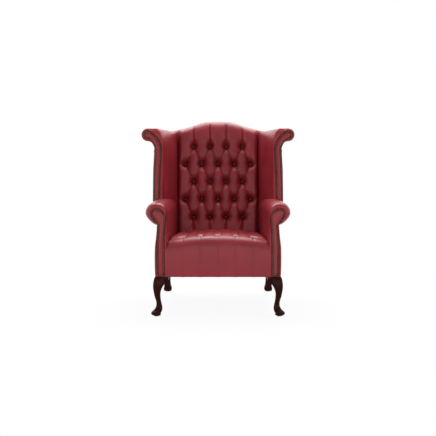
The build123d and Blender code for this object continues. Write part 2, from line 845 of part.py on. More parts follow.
def arms_and_wings():
    """Frames, pads, facings, outer panels and nails of the right side, each with its mirror image."""
    arm = arm_envelope()
    border = seat_pad(arm)
    facing = prism(facing_outline(rail_bottom, arm_front), y=facing_thickness)
    post = prism(facing_outline(rail_top, frame_front), y=arm_post_thickness)
    rail_span = (arm_rail_bottom, arm_rail_bottom + arm_rail_height)
    ends = [(back_y(z, post_front), z) for z in rail_span]
    rail_front = [(arm_post_rear, z) for z in rail_span]
    rail = prism(loop(sideways(frame_inner), rail_front[0], *ends, rail_front[1]), x=rail_thickness)

    strip = prism(strip_outline(-wing_depth), y=facing_thickness)
    board = prism(strip_outline(facing_thickness - wing_depth), y=wing_board_thickness)
    board_rear = facing_thickness + wing_board_thickness - wing_depth
    rail_ends = []
    for depth, x, z in ((board_rear, (strip_inner + strip_outer) / 2, scroll_height - scroll_radius),
                        (post_front, frame_half_width - wing_rail_width / 2,
                         crest_rail_bottom + wing_rail_height / 2)):
        half, tall = wing_rail_width / 2, wing_rail_height / 2
        rail_ends.append(loop(raked(depth), (x - half, z - tall), (x + half, z - tall), (x + half, z + tall),
                              (x - half, z + tall)))
    wing_rail = Solid.make_loft(rail_ends, ruled=True)

    side_ends = ((frame_half_width - side_panel, rail_bottom), (frame_half_width + side_panel, rail_bottom),
                 (frame_half_width + side_panel, side_panel_bend),
                 (frame_half_width + side_panel_waist, roll_height - roll_radius - side_panel_lap),
                 (frame_half_width + side_panel_waist, roll_height),
                 (frame_half_width - side_panel, roll_height))
    side = prism(loop(upright(arm_front), *side_ends), y=arm_rear - arm_front)
    rail_space = block((0, frame_half_width), (frame_front, far), (0, rail_top))
    side = without(side, arm, facing, post, rail_space, frame_space, behind_back)
    keep_pair("outside_arm_panel", Compound([biggest(side)]))

    wing_side = without(wing_side_panel(wing_panel_thickness), strip, board, arm, frame_space, behind_back)
    keep_pair("outside_wing_panel", Compound([biggest(wing_side)]))
    crest_face = crest_outline(frame_half_width, crest_rail_bottom, crest_cover, raked(back_pad_depth))
    crest_space = prism(crest_face, y=far)
    wing = without(wing_envelope(), strip, board, wing_rail, wing_side, arm, frame_space, crest_space,
                   back_pad_space)
    keep_pair("wing_pad", Compound([biggest(wing)]))
    keep_pair("wing_facing", Compound([biggest(without(strip, arm))]))
    keep_pair("wing_board", without(board, rail))
    keep_pair("wing_rail", wing_rail)

    arm_pad = without(arm, facing, post, rail, border, board, frame_space, back_pad_space)
    keep_pair("arm_pad", Compound([biggest(arm_pad)]))
    keep_pair("arm_facing", facing)
    keep_pair("arm_post", post)
    keep_pair("arm_rail", rail)

    arm_line = facing_outline(rail_bottom, arm_front).offset_2d(-nail_inset)
    keep_pair("arm_nails", spaced_nails(arm_line, Vector(0, -1, 0), lambda place: True))
    wing_line = strip_outline(-wing_depth).offset_2d(-nail_inset)
    keep_pair("wing_nails", spaced_nails(wing_line, back_normal, clear_of_arm))


def seat_springs():
    """Zigzag springs from rail to rail, their clips and the cloth over them."""
    start = frame_front + rail_thickness / 2
    end = back_y(rail_top, post_rear - rail_thickness / 2)
    steps = round((end - start) / spring_step)
    step = (end - start) / steps
    points = []
    side = -1
    for index in range(steps + 1):
        y = start + step * index
        points += [(side * spring_half_width, y, spring_level), (-side * spring_half_width, y, spring_level)]
        side = -side
    path = FilletPolyline(*points, radius=step * spring_bend_share)
    wire = sweep(Plane(path @ 0, z_dir=path % 0) * Circle(spring_wire / 2), path)
    slot_radius = spring_wire / 2 + clip_gap
    springs = []
    clips = []
    for index in range(spring_count):
        x = spring_pitch * (index - (spring_count - 1) / 2)
        springs.append(Pos(x, 0, 0) * wire)
        for y in (start, end):
            body = block((x - clip_length / 2, x + clip_length / 2), (y - clip_width / 2, y + clip_width / 2),
                         (rail_top, hessian_bottom))
            slot = Solid.make_cylinder(slot_radius, 2 * clip_length,
                                       Plane(origin=(x - clip_length, y, spring_level), z_dir=(1, 0, 0)))
            clips.append(without(body, slot))
    parts["seat_springs"] = group(springs)
    parts["spring_clips"] = group(clips)
    parts["seat_hessian"] = block((-hessian_half_width, hessian_half_width),
                                  (frame_front + hessian_lap, end), (hessian_bottom, seat_base))


def dust_cover():
    """A thin cloth under the rails, notched round the legs."""
    half = front_leg_x - ear_reach - cover_leg_gap
    side_half = frame_inner + cover_lap
    front = frame_front + cover_lap
    rear = back_y(rail_bottom, post_rear) - cover_lap
    span = (rail_bottom - cover_thickness, rail_bottom)
    middle = block((-half, half), (front, rear), span)
    front_free = front_leg_y + ear_reach + cover_leg_gap
    rear_free = rear_leg_y - rear_leg_width / 2 - cover_leg_gap
    parts["dust_cover"] = joined(middle, block((-side_half, side_half), (front_free, rear_free), span))


legs()
seat_frame()
back_frame()
back_pad()
arms_and_wings()
seat_springs()
dust_cover()

# The origin stands on the floor, under the middle of the chair
whole = Compound(list(parts.values())).bounding_box()
shift = Pos(0, -(whole.min.Y + whole.max.Y) / 2, 0)

os.makedirs("parts", exist_ok=True)
for name, shape in parts.items():
    export_step(shift * shape, "parts/" + name + ".step")
print("box", whole.size, "moved back by", shift.position.Y)
print("feet", [(x, y + shift.position.Y) for x, y in foot_places()])
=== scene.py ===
import bmesh
import bpy
import math
import numpy as np
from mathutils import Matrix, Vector
from mathutils.geometry import delaunay_2d_cdt


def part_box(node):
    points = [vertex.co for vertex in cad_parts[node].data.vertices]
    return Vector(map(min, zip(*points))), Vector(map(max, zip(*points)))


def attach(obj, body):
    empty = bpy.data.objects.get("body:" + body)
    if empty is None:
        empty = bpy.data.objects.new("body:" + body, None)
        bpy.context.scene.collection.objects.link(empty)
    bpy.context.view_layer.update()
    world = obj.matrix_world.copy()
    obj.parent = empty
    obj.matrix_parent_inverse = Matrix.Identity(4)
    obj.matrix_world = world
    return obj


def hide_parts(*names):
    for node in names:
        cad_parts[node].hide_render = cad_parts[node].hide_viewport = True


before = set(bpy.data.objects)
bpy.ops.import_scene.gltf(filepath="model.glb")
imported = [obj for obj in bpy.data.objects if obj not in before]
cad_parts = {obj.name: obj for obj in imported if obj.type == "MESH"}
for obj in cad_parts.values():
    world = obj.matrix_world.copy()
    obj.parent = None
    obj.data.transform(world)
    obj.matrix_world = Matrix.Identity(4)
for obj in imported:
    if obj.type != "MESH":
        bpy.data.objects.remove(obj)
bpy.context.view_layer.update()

MM = 0.001

# Sizes shared with the solids, in mm
FRAME_FRONT = -388.0
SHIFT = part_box("front_seat_rail")[0].y / MM - FRAME_FRONT
RAIL_BOTTOM, RAIL_TOP = 210.0, 322.0
SEAT_BASE = 330.0
BACK_START, LEAN = 181.0, math.tan(math.radians(12.0))
BACK_HALF, PAD_HALF, PAD_BOTTOM = 244.0, 288.0, 345.0
POST_REAR, BACK_OUTSIDE = 85.0, 97.0
CREST = 1055.0
FIRST_ROW, ROW_PITCH, COLUMN_PITCH, BACK_ROWS = 899.0, 106.5, 99.5, 5
BACK_RELIEF = 37.0
ARM_FRONT = -400.0
ROLL_R, ROLL_Z, ROLL_FRONT_X = 60.0, 546.0, 325.0
ROLL_REAR_X = BACK_HALF + 2.0 + ROLL_R
ARM_REAR = BACK_START + (ROLL_Z + ROLL_R - RAIL_TOP) * LEAN + BACK_OUTSIDE
FACING_INNER, FRAME_HALF, FRAME_INNER = 282.0, 324.0, 292.0
FACING_R, STRIP_R = 29.0, 24.0
ARM_SHOULDER = ROLL_Z - 1.17 * FACING_R
WING_DEPTH, WING_INNER, WING_OUTER = 380.0, 309.0, 367.0
SHOULDER, SHOULDER_REAR = 899.0, 850.0
SCROLL = (397.0, 966.0)
STRIP_TOP, STRIP_BEND = 862.0, 716.7
SCROLL_R, SCROLL_REAR_X, SCROLL_REAR_R = 37.0, 347.0, 24.0
WING_REAR_INNER = WING_INNER + (BACK_HALF - WING_INNER) * (WING_DEPTH + POST_REAR) / WING_DEPTH
WING_REAR_OUTER = 335.0
STRIP_OUTER = 363.0
SEAT_HEIGHT, SEAT_EDGE, SEAT_CROWN, SEAT_RELIEF = 434.0, 370.0, 28.0, 17.0
SEAT_ROLL, SEAT_DROP = 52.0, 31.0
ROLL_TILT, RISE_DROP = math.radians(20.0), 18.0
SEAT_FIRST, SEAT_PITCH, SEAT_COLUMN, SEAT_ROWS = -330.0, 90.0, 94.0, 5

# Sizes of the arm's and the wing's sections, the nail line and the cushions, in mm
ARM_WAIST, WALL_FOOT = 380.0, 364.0
WING_FOOT, WING_FREE = 535.0, 720.0
THROAT_DROP, SIDE_SKIN = 50.0, 6.3
CURL_RUN_FRONT, CURL_RUN_REAR = 43.0, 26.0
SLIM, SLIM_REACH, SLIM_LOW, SLIM_TOP = 4.5, 80.0, 750.0, 925.0
NAIL_LINE, NAIL_SHADOW, FACING_DEPTH = 6.0, 4.6, 11.8
PAD_REAR, CREST_TUCK = 45.5, -29.0
PLEAT_SPREAD, BACK_PIT, SEAT_PIT = 18.0, 12.5, 13.0
SEAT_HALF, SEAT_FLARE = 270.0, 190.0
BORDER_HEIGHT, BORDER_TOP, BORDER_FADE = 130.0, 366.0, 14.0

# How many points lie along each part of the arm's section (wall, roll, below it, side, floor)
# and of the wing's (wall, curl, roll, throat, outside)
ARM_COUNTS = (26, 96, 6, 12, 6)
WING_COUNTS = (44, 30, 36, 18, 34)

# Heads of nails and buttons, in metres: radius, height, how blunt, rings, points round, how far sunk
NAIL_HEAD = (0.00475, 0.0033, 1.0, 4, 14, 0.0012)
BACK_BUTTON = (0.0095, 0.0075, 0.8, 6, 24, 0.002)
SEAT_BUTTON = (0.0095, 0.0065, 0.8, 6, 24, 0.004)
NAIL_HALF, BUTTON_LIFT = 0.0013, 0.001

SIDES = {-1: "left", 1: "right"}


# Helpers
def back_y(z, depth):
    """Depth of the leaning back at a height, before the shift to the middle of the chair."""
    return BACK_START + (z - RAIL_TOP) * LEAN + depth


def smooth_mesh(name, points, faces, material):
    """A smooth shaded mesh from points in metres, linked to the scene."""
    mesh = bpy.data.meshes.new(name)
    mesh.from_pydata(points, [], faces)
    mesh.materials.append(material)
    mesh.polygons.foreach_set("use_smooth", [True] * len(mesh.polygons))
    obj = bpy.data.objects.new(name, mesh)
    bpy.context.scene.collection.objects.link(obj)
    return obj


def out_facing(obj):
    """Turns the faces of a closed mesh outward and gives the piece back."""
    bm = bmesh.new()
    bm.from_mesh(obj.data)
    bmesh.ops.remove_doubles(bm, verts=bm.verts, dist=1e-6)
    bmesh.ops.recalc_face_normals(bm, faces=bm.faces)
    bm.to_mesh(obj.data)
    bm.free()
    return obj


def leather_piece(name, verts, faces, fold_shades=None):
    """A leather piece from points in mm before the shift, with how much painted shade each point carries."""
    co = np.array(verts, float)
    co[:, 1] += SHIFT
    co *= MM
    obj = smooth_mesh(name, co.tolist(), [tuple(int(i) for i in f) for f in faces], red_leather)
    fold_shade = obj.data.attributes.new("fold_shade", "FLOAT", "POINT")
    values = np.zeros(len(co)) if fold_shades is None else np.clip(fold_shades, 0, 1)
    fold_shade.data.foreach_set("value", values.astype(np.float32))
    return out_facing(obj)


def ring_faces(count, rings):
    """Quads between closed rings of points, and a face over each end."""
    faces = []
    for r in range(rings - 1):
        a, b = r * count, (r + 1) * count
        for i in range(count):
            j = (i + 1) % count
            faces.append((a + i, a + j, b + j, b + i))
    faces.append(tuple(range(count)))
    faces.append(tuple(range((rings - 1) * count, rings * count))[::-1])
    return faces


def valley_faces(height):
    """Faces round a grid that closes on itself: triangles split along its valleys, and both sides.
    height has one value for each grid point."""
    rows, columns = height.shape
    idx = np.arange(rows * columns).reshape(rows, columns)
    a, b, c, d = idx[:-1, :-1], idx[:-1, 1:], idx[1:, 1:], idx[1:, :-1]
    ha, hb, hc, hd = height[:-1, :-1], height[:-1, 1:], height[1:, 1:], height[1:, :-1]
    split_ac = (ha + hc) < (hb + hd)
    faces = []
    for s, t1, t2 in ((split_ac, (a, b, c), (a, c, d)), (~split_ac, (a, b, d), (b, c, d))):
        for tri in (t1, t2):
            faces.append(np.stack([q[s] for q in tri], 1))
    last = (rows - 1) * columns
    faces = np.concatenate(faces).tolist()
    faces += [(last + i, last + i + 1, i + 1, i) for i in range(columns - 1)]
    faces.append(tuple(range(0, rows * columns, columns)))
    faces.append(tuple(range(columns - 1, rows * columns, columns))[::-1])
    return faces


def arc(start, via, end, count):
    """Points of the arc through three points, both ends included."""
    (ax, ay), (bx, by), (cx, cy) = start, via, end
    d = 2 * (ax * (by - cy) + bx * (cy - ay) + cx * (ay - by))
    if abs(d) < 1e-9:
        return np.linspace(start, end, count)
    a2, b2, c2 = ax * ax + ay * ay, bx * bx + by * by, cx * cx + cy * cy
    ux = (a2 * (by - cy) + b2 * (cy - ay) + c2 * (ay - by)) / d
    uy = (a2 * (cx - bx) + b2 * (ax - cx) + c2 * (bx - ax)) / d
    r = math.hypot(ax - ux, ay - uy)
    t0, t1, t2 = (math.atan2(q[1] - uy, q[0] - ux) for q in (start, via, end))
    sweep = (t2 - t0) % (2 * math.pi)
    if (t1 - t0) % (2 * math.pi) > sweep:
        sweep -= 2 * math.pi
    t = t0 + np.linspace(0, sweep, count)
    return np.stack([ux + r * np.cos(t), uy + r * np.sin(t)], 1)


def turn(centre, radius, start, end, count):
    """Points of a circle from one angle to another, in degrees."""
    t = np.radians(np.linspace(start, end, count))
    return np.stack([centre[0] + radius * np.cos(t), centre[1] + radius * np.sin(t)], 1)


def resample(points, count):
    """Points spaced evenly along a line of points."""
    points = np.array(points, float)
    step = np.hypot(*np.diff(points, axis=0).T)
    along = np.concatenate([[0], np.cumsum(step)])
    want = np.linspace(0, along[-1], count)
    return np.stack([np.interp(want, along, points[:, k]) for k in range(2)], 1)


def smooth_step(x):
    """0 below 0, 1 above 1 and a smooth rise between them."""
    x = np.clip(x, 0, 1)
    return x * x * (3 - 2 * x)


def roll_x(share):
    """Where the middle of the right arm's roll is across the chair, at a share of the arm's length."""
    return ROLL_FRONT_X + (ROLL_REAR_X - ROLL_FRONT_X) * np.clip(share, 0, 1)


# Materials
SETTINGS = ("operation", "blend_type", "data_type", "feature", "wave_type", "bands_direction",
            "attribute_name")


def node_maker(owner):
    """A function that adds nodes to the emptied node tree of a material or world.
    i0, i1 and so on name an input by its place, other words by its name."""
    owner.use_nodes = True
    tree = owner.node_tree
    tree.nodes.clear()

    def add(kind, **inputs):
        node = tree.nodes.new(kind)
        for key, value in inputs.items():
            if key in SETTINGS:
                setattr(node, key, value)
                continue
            target = node.inputs[int(key[1:]) if key[0] == "i" and key[1:].isdigit() else key]
            if isinstance(value, bpy.types.NodeSocket):
                tree.links.new(value, target)
            else:
                target.default_value = value
        return node
    return add


def new_material(name):
    """A material, its node function and the place of each point."""
    material = bpy.data.materials.new(name)
    add = node_maker(material)
    return material, add, add("ShaderNodeTexCoord").outputs["Object"]


def ramp(add, factor, *stops):
    """Colour for a factor, from stops of a position and a colour."""
    node = add("ShaderNodeValToRGB", i0=factor)
    elements = node.color_ramp.elements
    while len(elements) < len(stops):
        elements.new(0.5)
    for element, (position, colour) in zip(elements, stops):
        element.position = position
        element.color = (*colour, 1.0)
    return node.outputs[0]


def leather(name, colour, deep, rough=0.36):
    """Dyed hide: fine pebble grain, soft colour drift, painted shade where each point carries it, and a dull
    polish.
    """
    material, add, place = new_material(name)
    broad = add("ShaderNodeTexNoise", Vector=place, Scale=7.0, Detail=3.0).outputs["Fac"]
    fine = add("ShaderNodeTexNoise", Vector=place, Scale=900.0, Detail=2.0).outputs["Fac"]
    pebble = add("ShaderNodeTexVoronoi", feature="SMOOTH_F1", Vector=place, Scale=520.0, Smoothness=0.6)
    creases = add("ShaderNodeTexVoronoi", feature="DISTANCE_TO_EDGE", Vector=place, Scale=260.0)
    drift = ramp(add, broad, (0.3, deep), (0.7, colour))
    # Painted shade: the colour is multiplied toward a dark red by the per-point shade amount stored on the
    # mesh
    fold_shade = add("ShaderNodeAttribute", attribute_name="fold_shade").outputs["Fac"]
    fold_shaded = add("ShaderNodeMix", data_type="RGBA", blend_type="MULTIPLY", Factor=fold_shade, i6=drift,
                 i7=(0.42, 0.34, 0.36, 1.0)).outputs[2]
    cells = ramp(add, creases.outputs["Distance"], (0.0, (0.0,) * 3), (0.12, (1.0,) * 3))
    height = add("ShaderNodeMath", operation="MULTIPLY_ADD", i0=pebble.outputs["Distance"], i1=-0.7, i2=fine)
    total = add("ShaderNodeMath", operation="MULTIPLY_ADD", i0=cells, i1=0.35, i2=height.outputs[0])
    bump = add("ShaderNodeBump", Strength=0.32, Distance=0.0007, Height=total.outputs[0]).outputs[0]
    sheen = add("ShaderNodeMapRange", Value=broad, i1=0.3, i2=0.7, i3=rough - 0.04, i4=rough + 0.05)
    shader = add("ShaderNodeBsdfPrincipled", i0=fold_shaded, Roughness=sheen.outputs[0], Normal=bump, IOR=1.5)
    shader.inputs["Specular IOR Level"].default_value = 0.3
    add("ShaderNodeOutputMaterial", Surface=shader.outputs[0])
    return material


def wood(name, dark, light, rough, gloss):
    """Straight-grained timber along the height, with pores."""
    material, add, place = new_material(name)
    along = add("ShaderNodeMapping", Vector=place, Scale=(34.0, 34.0, 3.2)).outputs[0]
    bend = add("ShaderNodeTexNoise", Vector=along, Scale=1.0, Detail=5.0, Roughness=0.6).outputs["Fac"]
    rings = add("ShaderNodeTexWave", wave_type="BANDS", bands_direction="X", Vector=along, Scale=1.4,
                Distortion=7.0, Detail=3.0).outputs["Fac"]
    pores = add("ShaderNodeTexNoise", Vector=along, Scale=14.0, Detail=2.0).outputs["Fac"]
    mixed = add("ShaderNodeMath", operation="MULTIPLY_ADD", i0=rings, i1=0.45, i2=bend).outputs[0]
    colour = ramp(add, mixed, (0.35, dark), (0.95, light))
    bump = add("ShaderNodeBump", Strength=0.06, Distance=0.0005, Height=pores).outputs[0]
    shader = add("ShaderNodeBsdfPrincipled", i0=colour, Roughness=rough, Normal=bump)
    shader.inputs["Specular IOR Level"].default_value = gloss
    shader.inputs["Coat Weight"].default_value = gloss / 2
    shader.inputs["Coat Roughness"].default_value = 0.16
    add("ShaderNodeOutputMaterial", Surface=shader.outputs[0])
    return material


def metal(name, dark, light, rough, crown=None):
    """Metal with patina in its low places, a painted highlight where it faces the crown direction and
    painted shade where it turns away from it.
    """
    material, add, place = new_material(name)
    patina = add("ShaderNodeTexNoise", Vector=place, Scale=260.0, Detail=4.0).outputs["Fac"]
    level = patina
    if crown is not None:
        # Painted highlight where the normal faces the crown direction, painted shade where it turns away
        normal = add("ShaderNodeNewGeometry").outputs["Normal"]
        toward = add("ShaderNodeVectorMath", operation="DOT_PRODUCT", i0=normal, i1=crown).outputs["Value"]
        painted_glint_shade = add("ShaderNodeMapRange", Value=toward, i1=0.82, i2=0.99, i3=-0.4, i4=0.12).outputs[0]
        level = add("ShaderNodeMath", operation="ADD", i0=patina, i1=painted_glint_shade).outputs[0]
    colour = ramp(add, level, (0.38, dark), (0.62, light))
    bump = add("ShaderNodeBump", Strength=0.15, Distance=0.0002, Height=patina).outputs[0]
    spread = add("ShaderNodeMapRange", Value=patina, i1=0.3, i2=0.7, i3=rough + 0.12, i4=rough - 0.06)
    shader = add("ShaderNodeBsdfPrincipled", i0=colour, Metallic=1.0, Roughness=spread.outputs[0],
                 Normal=bump)
    add("ShaderNodeOutputMaterial", Surface=shader.outputs[0])
    return material


def cloth(name, dark, light, threads):
    """Woven cloth: crossing threads by place."""
    material, add, place = new_material(name)
    warp, weft, rise = (add("ShaderNodeTexWave", wave_type="BANDS", bands_direction=axis, Vector=place,
                            Scale=threads, Distortion=0.4).outputs["Fac"] for axis in "XYZ")
    side = add("ShaderNodeMath", operation="MAXIMUM", i0=weft, i1=rise).outputs[0]
    weave = add("ShaderNodeMath", operation="MULTIPLY", i0=warp, i1=side).outputs[0]
    bump = add("ShaderNodeBump", Strength=0.4, Distance=0.0006, Height=weave).outputs[0]
    colour = ramp(add, weave, (0.0, dark), (0.8, light))
    shader = add("ShaderNodeBsdfPrincipled", i0=colour, Roughness=0.9, Normal=bump)
    add("ShaderNodeOutputMaterial", Surface=shader.outputs[0])
    return material


RED = (0.262, 0.018, 0.026)
RED_DEEP = (0.215, 0.013, 0.020)
red_leather = leather("red_leather", RED, RED_DEEP)
# Button heads: a darker copy of the red leather, painted shade for the pits they sit in
button_leather = leather("button_leather", (0.085, 0.006, 0.009), (0.06, 0.004, 0.006), rough=0.26)
# Nail heads: the bright front-facing centres are a painted highlight and the darker rims painted shade
brass = metal("antique_brass", (0.005, 0.004, 0.0025), (0.200, 0.165, 0.100), 0.24, (0.0, -0.99, 0.12))
mahogany = wood("dark_mahogany", (0.010, 0.0012, 0.0005), (0.034, 0.0040, 0.0012), 0.28, 0.05)
beech = wood("frame_beech", (0.36, 0.22, 0.12), (0.55, 0.38, 0.23), 0.6, 0.4)
steel = metal("spring_steel", (0.22, 0.22, 0.23), (0.50, 0.50, 0.52), 0.38)
jute = cloth("hessian", (0.20, 0.13, 0.06), (0.46, 0.34, 0.18), 420.0)
web = cloth("webbing", (0.14, 0.11, 0.08), (0.33, 0.27, 0.2), 300.0)
black = cloth("black_cloth", (0.006, 0.006, 0.007), (0.03, 0.03, 0.032), 500.0)
nylon = metal("dark_nylon", (0.02, 0.017, 0.014), (0.035, 0.03, 0.026), 0.5)
nylon.node_tree.nodes["Principled BSDF"].inputs["Metallic"].default_value = 0.0


# Buttoned back and seat
def tuft_pattern(rows, narrow, pitch, first_narrow):
    """Button places row by row, and the pleats between neighbours in next rows."""
    spots = []
    for r, v in enumerate(rows):
        count = narrow if (r % 2 == 0) == first_narrow else narrow + 1
        spots.append([(pitch * (i - (count - 1) / 2), v) for i in range(count)])
    pleats = []
    for upper, lower in zip(spots, spots[1:]):
        for a in upper:
            for b in lower:
                if abs(abs(a[0] - b[0]) - pitch / 2) < 1.0:
                    pleats.append((a, b, 1.0, 1.0, 0.36))
    return spots, pleats


def button_grid(half, step):
    """Places across a cushion: steps that meet every button, and both sides."""
    reach = int(half // step)
    return np.concatenate([[-half], np.arange(-reach, reach + 1) * step, [half]])


def side_pleats(rows, half, *depths):
    """Pleats from the first and the last button of each row to the cushion's sides."""
    return [(a, (math.copysign(half, a[0]), a[1]), *depths) for row in rows for a in (row[0], row[-1])]


def grooves(x, row, width):
    """Depth of the narrow grooves that run on from a row of buttons, 1 in the middle of each."""
    return sum(np.exp(-np.abs(x - a[0]) / width) for a in row)


def rounded(place, edge, reach):
    """Share of the full height near a rounded edge: 1 from reach inside it and 0 at the edge."""
    near = np.clip((place - (edge - reach)) / reach, 0, 1)
    return np.sqrt(np.clip(1 - near ** 2.4, 0, 1))


def relief(u, v, buttons, pleats, pit):
    """Share of the stuffing's full height at each place, 0 at a button.
    A pleat is its two ends, how deep it is at each of them, and in the middle."""
    share = np.ones_like(u)
    lip = np.zeros_like(u)
    for (au, av), (bu, bv), deep_a, deep_b, middle in pleats:
        du, dv = bu - au, bv - av
        length = math.hypot(du, dv)
        s = np.clip(((u - au) * du + (v - av) * dv) / length ** 2, 0, 1)
        off = (u - au) * (-dv) / length + (v - av) * du / length
        d = np.hypot(u - (au + s * du), v - (av + s * dv))
        ends = deep_a + (deep_b - deep_a) * s
        bow = 4 * s * (1 - s) if min(deep_a, deep_b) > 0.9 else s
        depth = ends + (middle - ends) * np.clip(bow, 0, 1) ** 0.75
        thin = 0.36 + 0.64 * (depth < 0.3)
        side = np.sign(off) * np.sign(du if abs(du) > 1e-6 else 1.0)
        reach = PLEAT_SPREAD * np.where(side > 0, 1.25, 0.75)
        share *= 1 - depth * ((1 - thin) * np.exp(-d / reach) + thin * np.exp(-d / 4.0))
        lip += 0.030 * np.sin(np.pi * s) * np.exp(-((d - 3.5) / 2.4) ** 2) * (side > 0)
    for index, (bu, bv) in enumerate(buttons):
        r = np.hypot(u - bu, v - bv)
        t = np.arctan2(v - bv, u - bu)
        share *= 1 - np.exp(-(r * (1 - 0.12 * np.sin(t)) / pit) ** 2)
        share += 0.014 * np.cos(9 * t + 1.7 * index) * np.exp(-((r - 1.5 * pit) / (0.6 * pit)) ** 2)
    return np.clip(share / 0.885 + lip, -0.02, 1.09)


def crest_line(x):
    """Height of the serpentine crest at a place across the back."""
    x = np.abs(np.array(x, float))
    end = (PAD_HALF, CREST - 60.0)
    shoulder = (125.0, CREST - 16.0)
    flat = (60.0, CREST - 1.0)
    hollow = ((end[0] + shoulder[0]) / 2, (end[1] + shoulder[1]) / 2 - 3.0)
    bulge = ((shoulder[0] + flat[0]) / 2, (shoulder[1] + flat[1]) / 2 + 2.5)
    line = np.concatenate([arc((-flat[0], flat[1]), (0, CREST), flat, 41)[20:],
                           arc(flat, bulge, shoulder, 20)[1:], arc(shoulder, hollow, end, 40)[1:]])
    return np.interp(x, line[:, 0], line[:, 1])


def make_back():
    """The deep-buttoned inside back, wrapped over the crest."""
    split = 24
    du, dv = COLUMN_PITCH / 2 / split, ROW_PITCH / split
    u = button_grid(PAD_HALF, du)
    z = np.arange(math.floor((PAD_BOTTOM - FIRST_ROW) / dv), 12) * dv + FIRST_ROW
    z = np.concatenate([[PAD_BOTTOM], z[z > PAD_BOTTOM + 1]])
    rows = [FIRST_ROW - ROW_PITCH * r for r in range(BACK_ROWS)]
    spots, pleats = tuft_pattern(rows, 4, COLUMN_PITCH, True)
    buttons = [s for row in spots for s in row]
    for a in spots[0]:
        pleats.append((a, (a[0], CREST), 1.0, 0.07, 0.12))
    for a in spots[-1]:
        pleats.append((a, (a[0], PAD_BOTTOM), 1.0, 0.22, 0.26))
    pleats += side_pleats((spots[1], spots[3]), PAD_HALF, 0.9, 0.10, 0.14)
    U, Z = np.meshgrid(u, z)
    full = relief(U, Z, buttons, pleats, BACK_PIT) * rounded(np.abs(U), BACK_HALF, 30)
    depth = -BACK_RELIEF * full
    # Over the crest: a tight roll, with the pleats of the top row running over it
    phi = np.linspace(0, math.pi / 2, 22)[1:]
    power = 2 / 3
    base = -depth[-1]
    top = crest_line(u)
    run = base + 34.0
    rise = top - z[-1]
    groove = grooves(u, spots[0], 4.5)
    over_d, over_z = [], []
    for p in phi:
        c, s = math.cos(p), math.sin(p)
        d = -base + run * (1 - max(c, 0) ** power)
        h = z[-1] + rise * s ** power
        cut = 2.4 * groove * smooth_step(np.array(p / 0.5))
        over_d.append(d + cut * c)
        over_z.append(h - cut * s)
    level = np.ones((1, len(u)))
    behind = [top - 2.0 * groove, top + CREST_TUCK, top + CREST_TUCK, PAD_BOTTOM * level[0]]
    rear = POST_REAR - 0.5
    depths = np.concatenate([depth, over_d] + [d * level for d in (rear, rear, PAD_REAR, PAD_REAR)])
    heights = np.concatenate([Z, over_z, behind])
    across = np.tile(u, (len(depths), 1))
    verts = np.stack([across, back_y(heights, depths), heights], 2).reshape(-1, 3)
    # Painted shade in the button pits and pleat valleys, darkest where the stuffing is lowest
    fold_shaded = np.zeros(depths.shape)
    fold_shaded[:len(full)] = smooth_step((0.55 - full) / 0.55) * (np.abs(U) < BACK_HALF - 12)
    cushion = leather_piece("back_cushion", verts, valley_faces(-depths), fold_shaded.reshape(-1))
    return cushion, [(x, back_y(v, 0), v) for x, v in buttons]


def seat_fall(x):
    """How far the seat's crown has fallen at a place across it."""
    share = np.clip(np.abs(x) / FACING_INNER, 0, 1)
    return SEAT_CROWN * share ** 2.2


def seat_slope(y):
    """How far the seat's top has fallen toward the back."""
    start = ARM_FRONT + SEAT_ROLL
    return SEAT_DROP * (y - start) / (BACK_START - start)


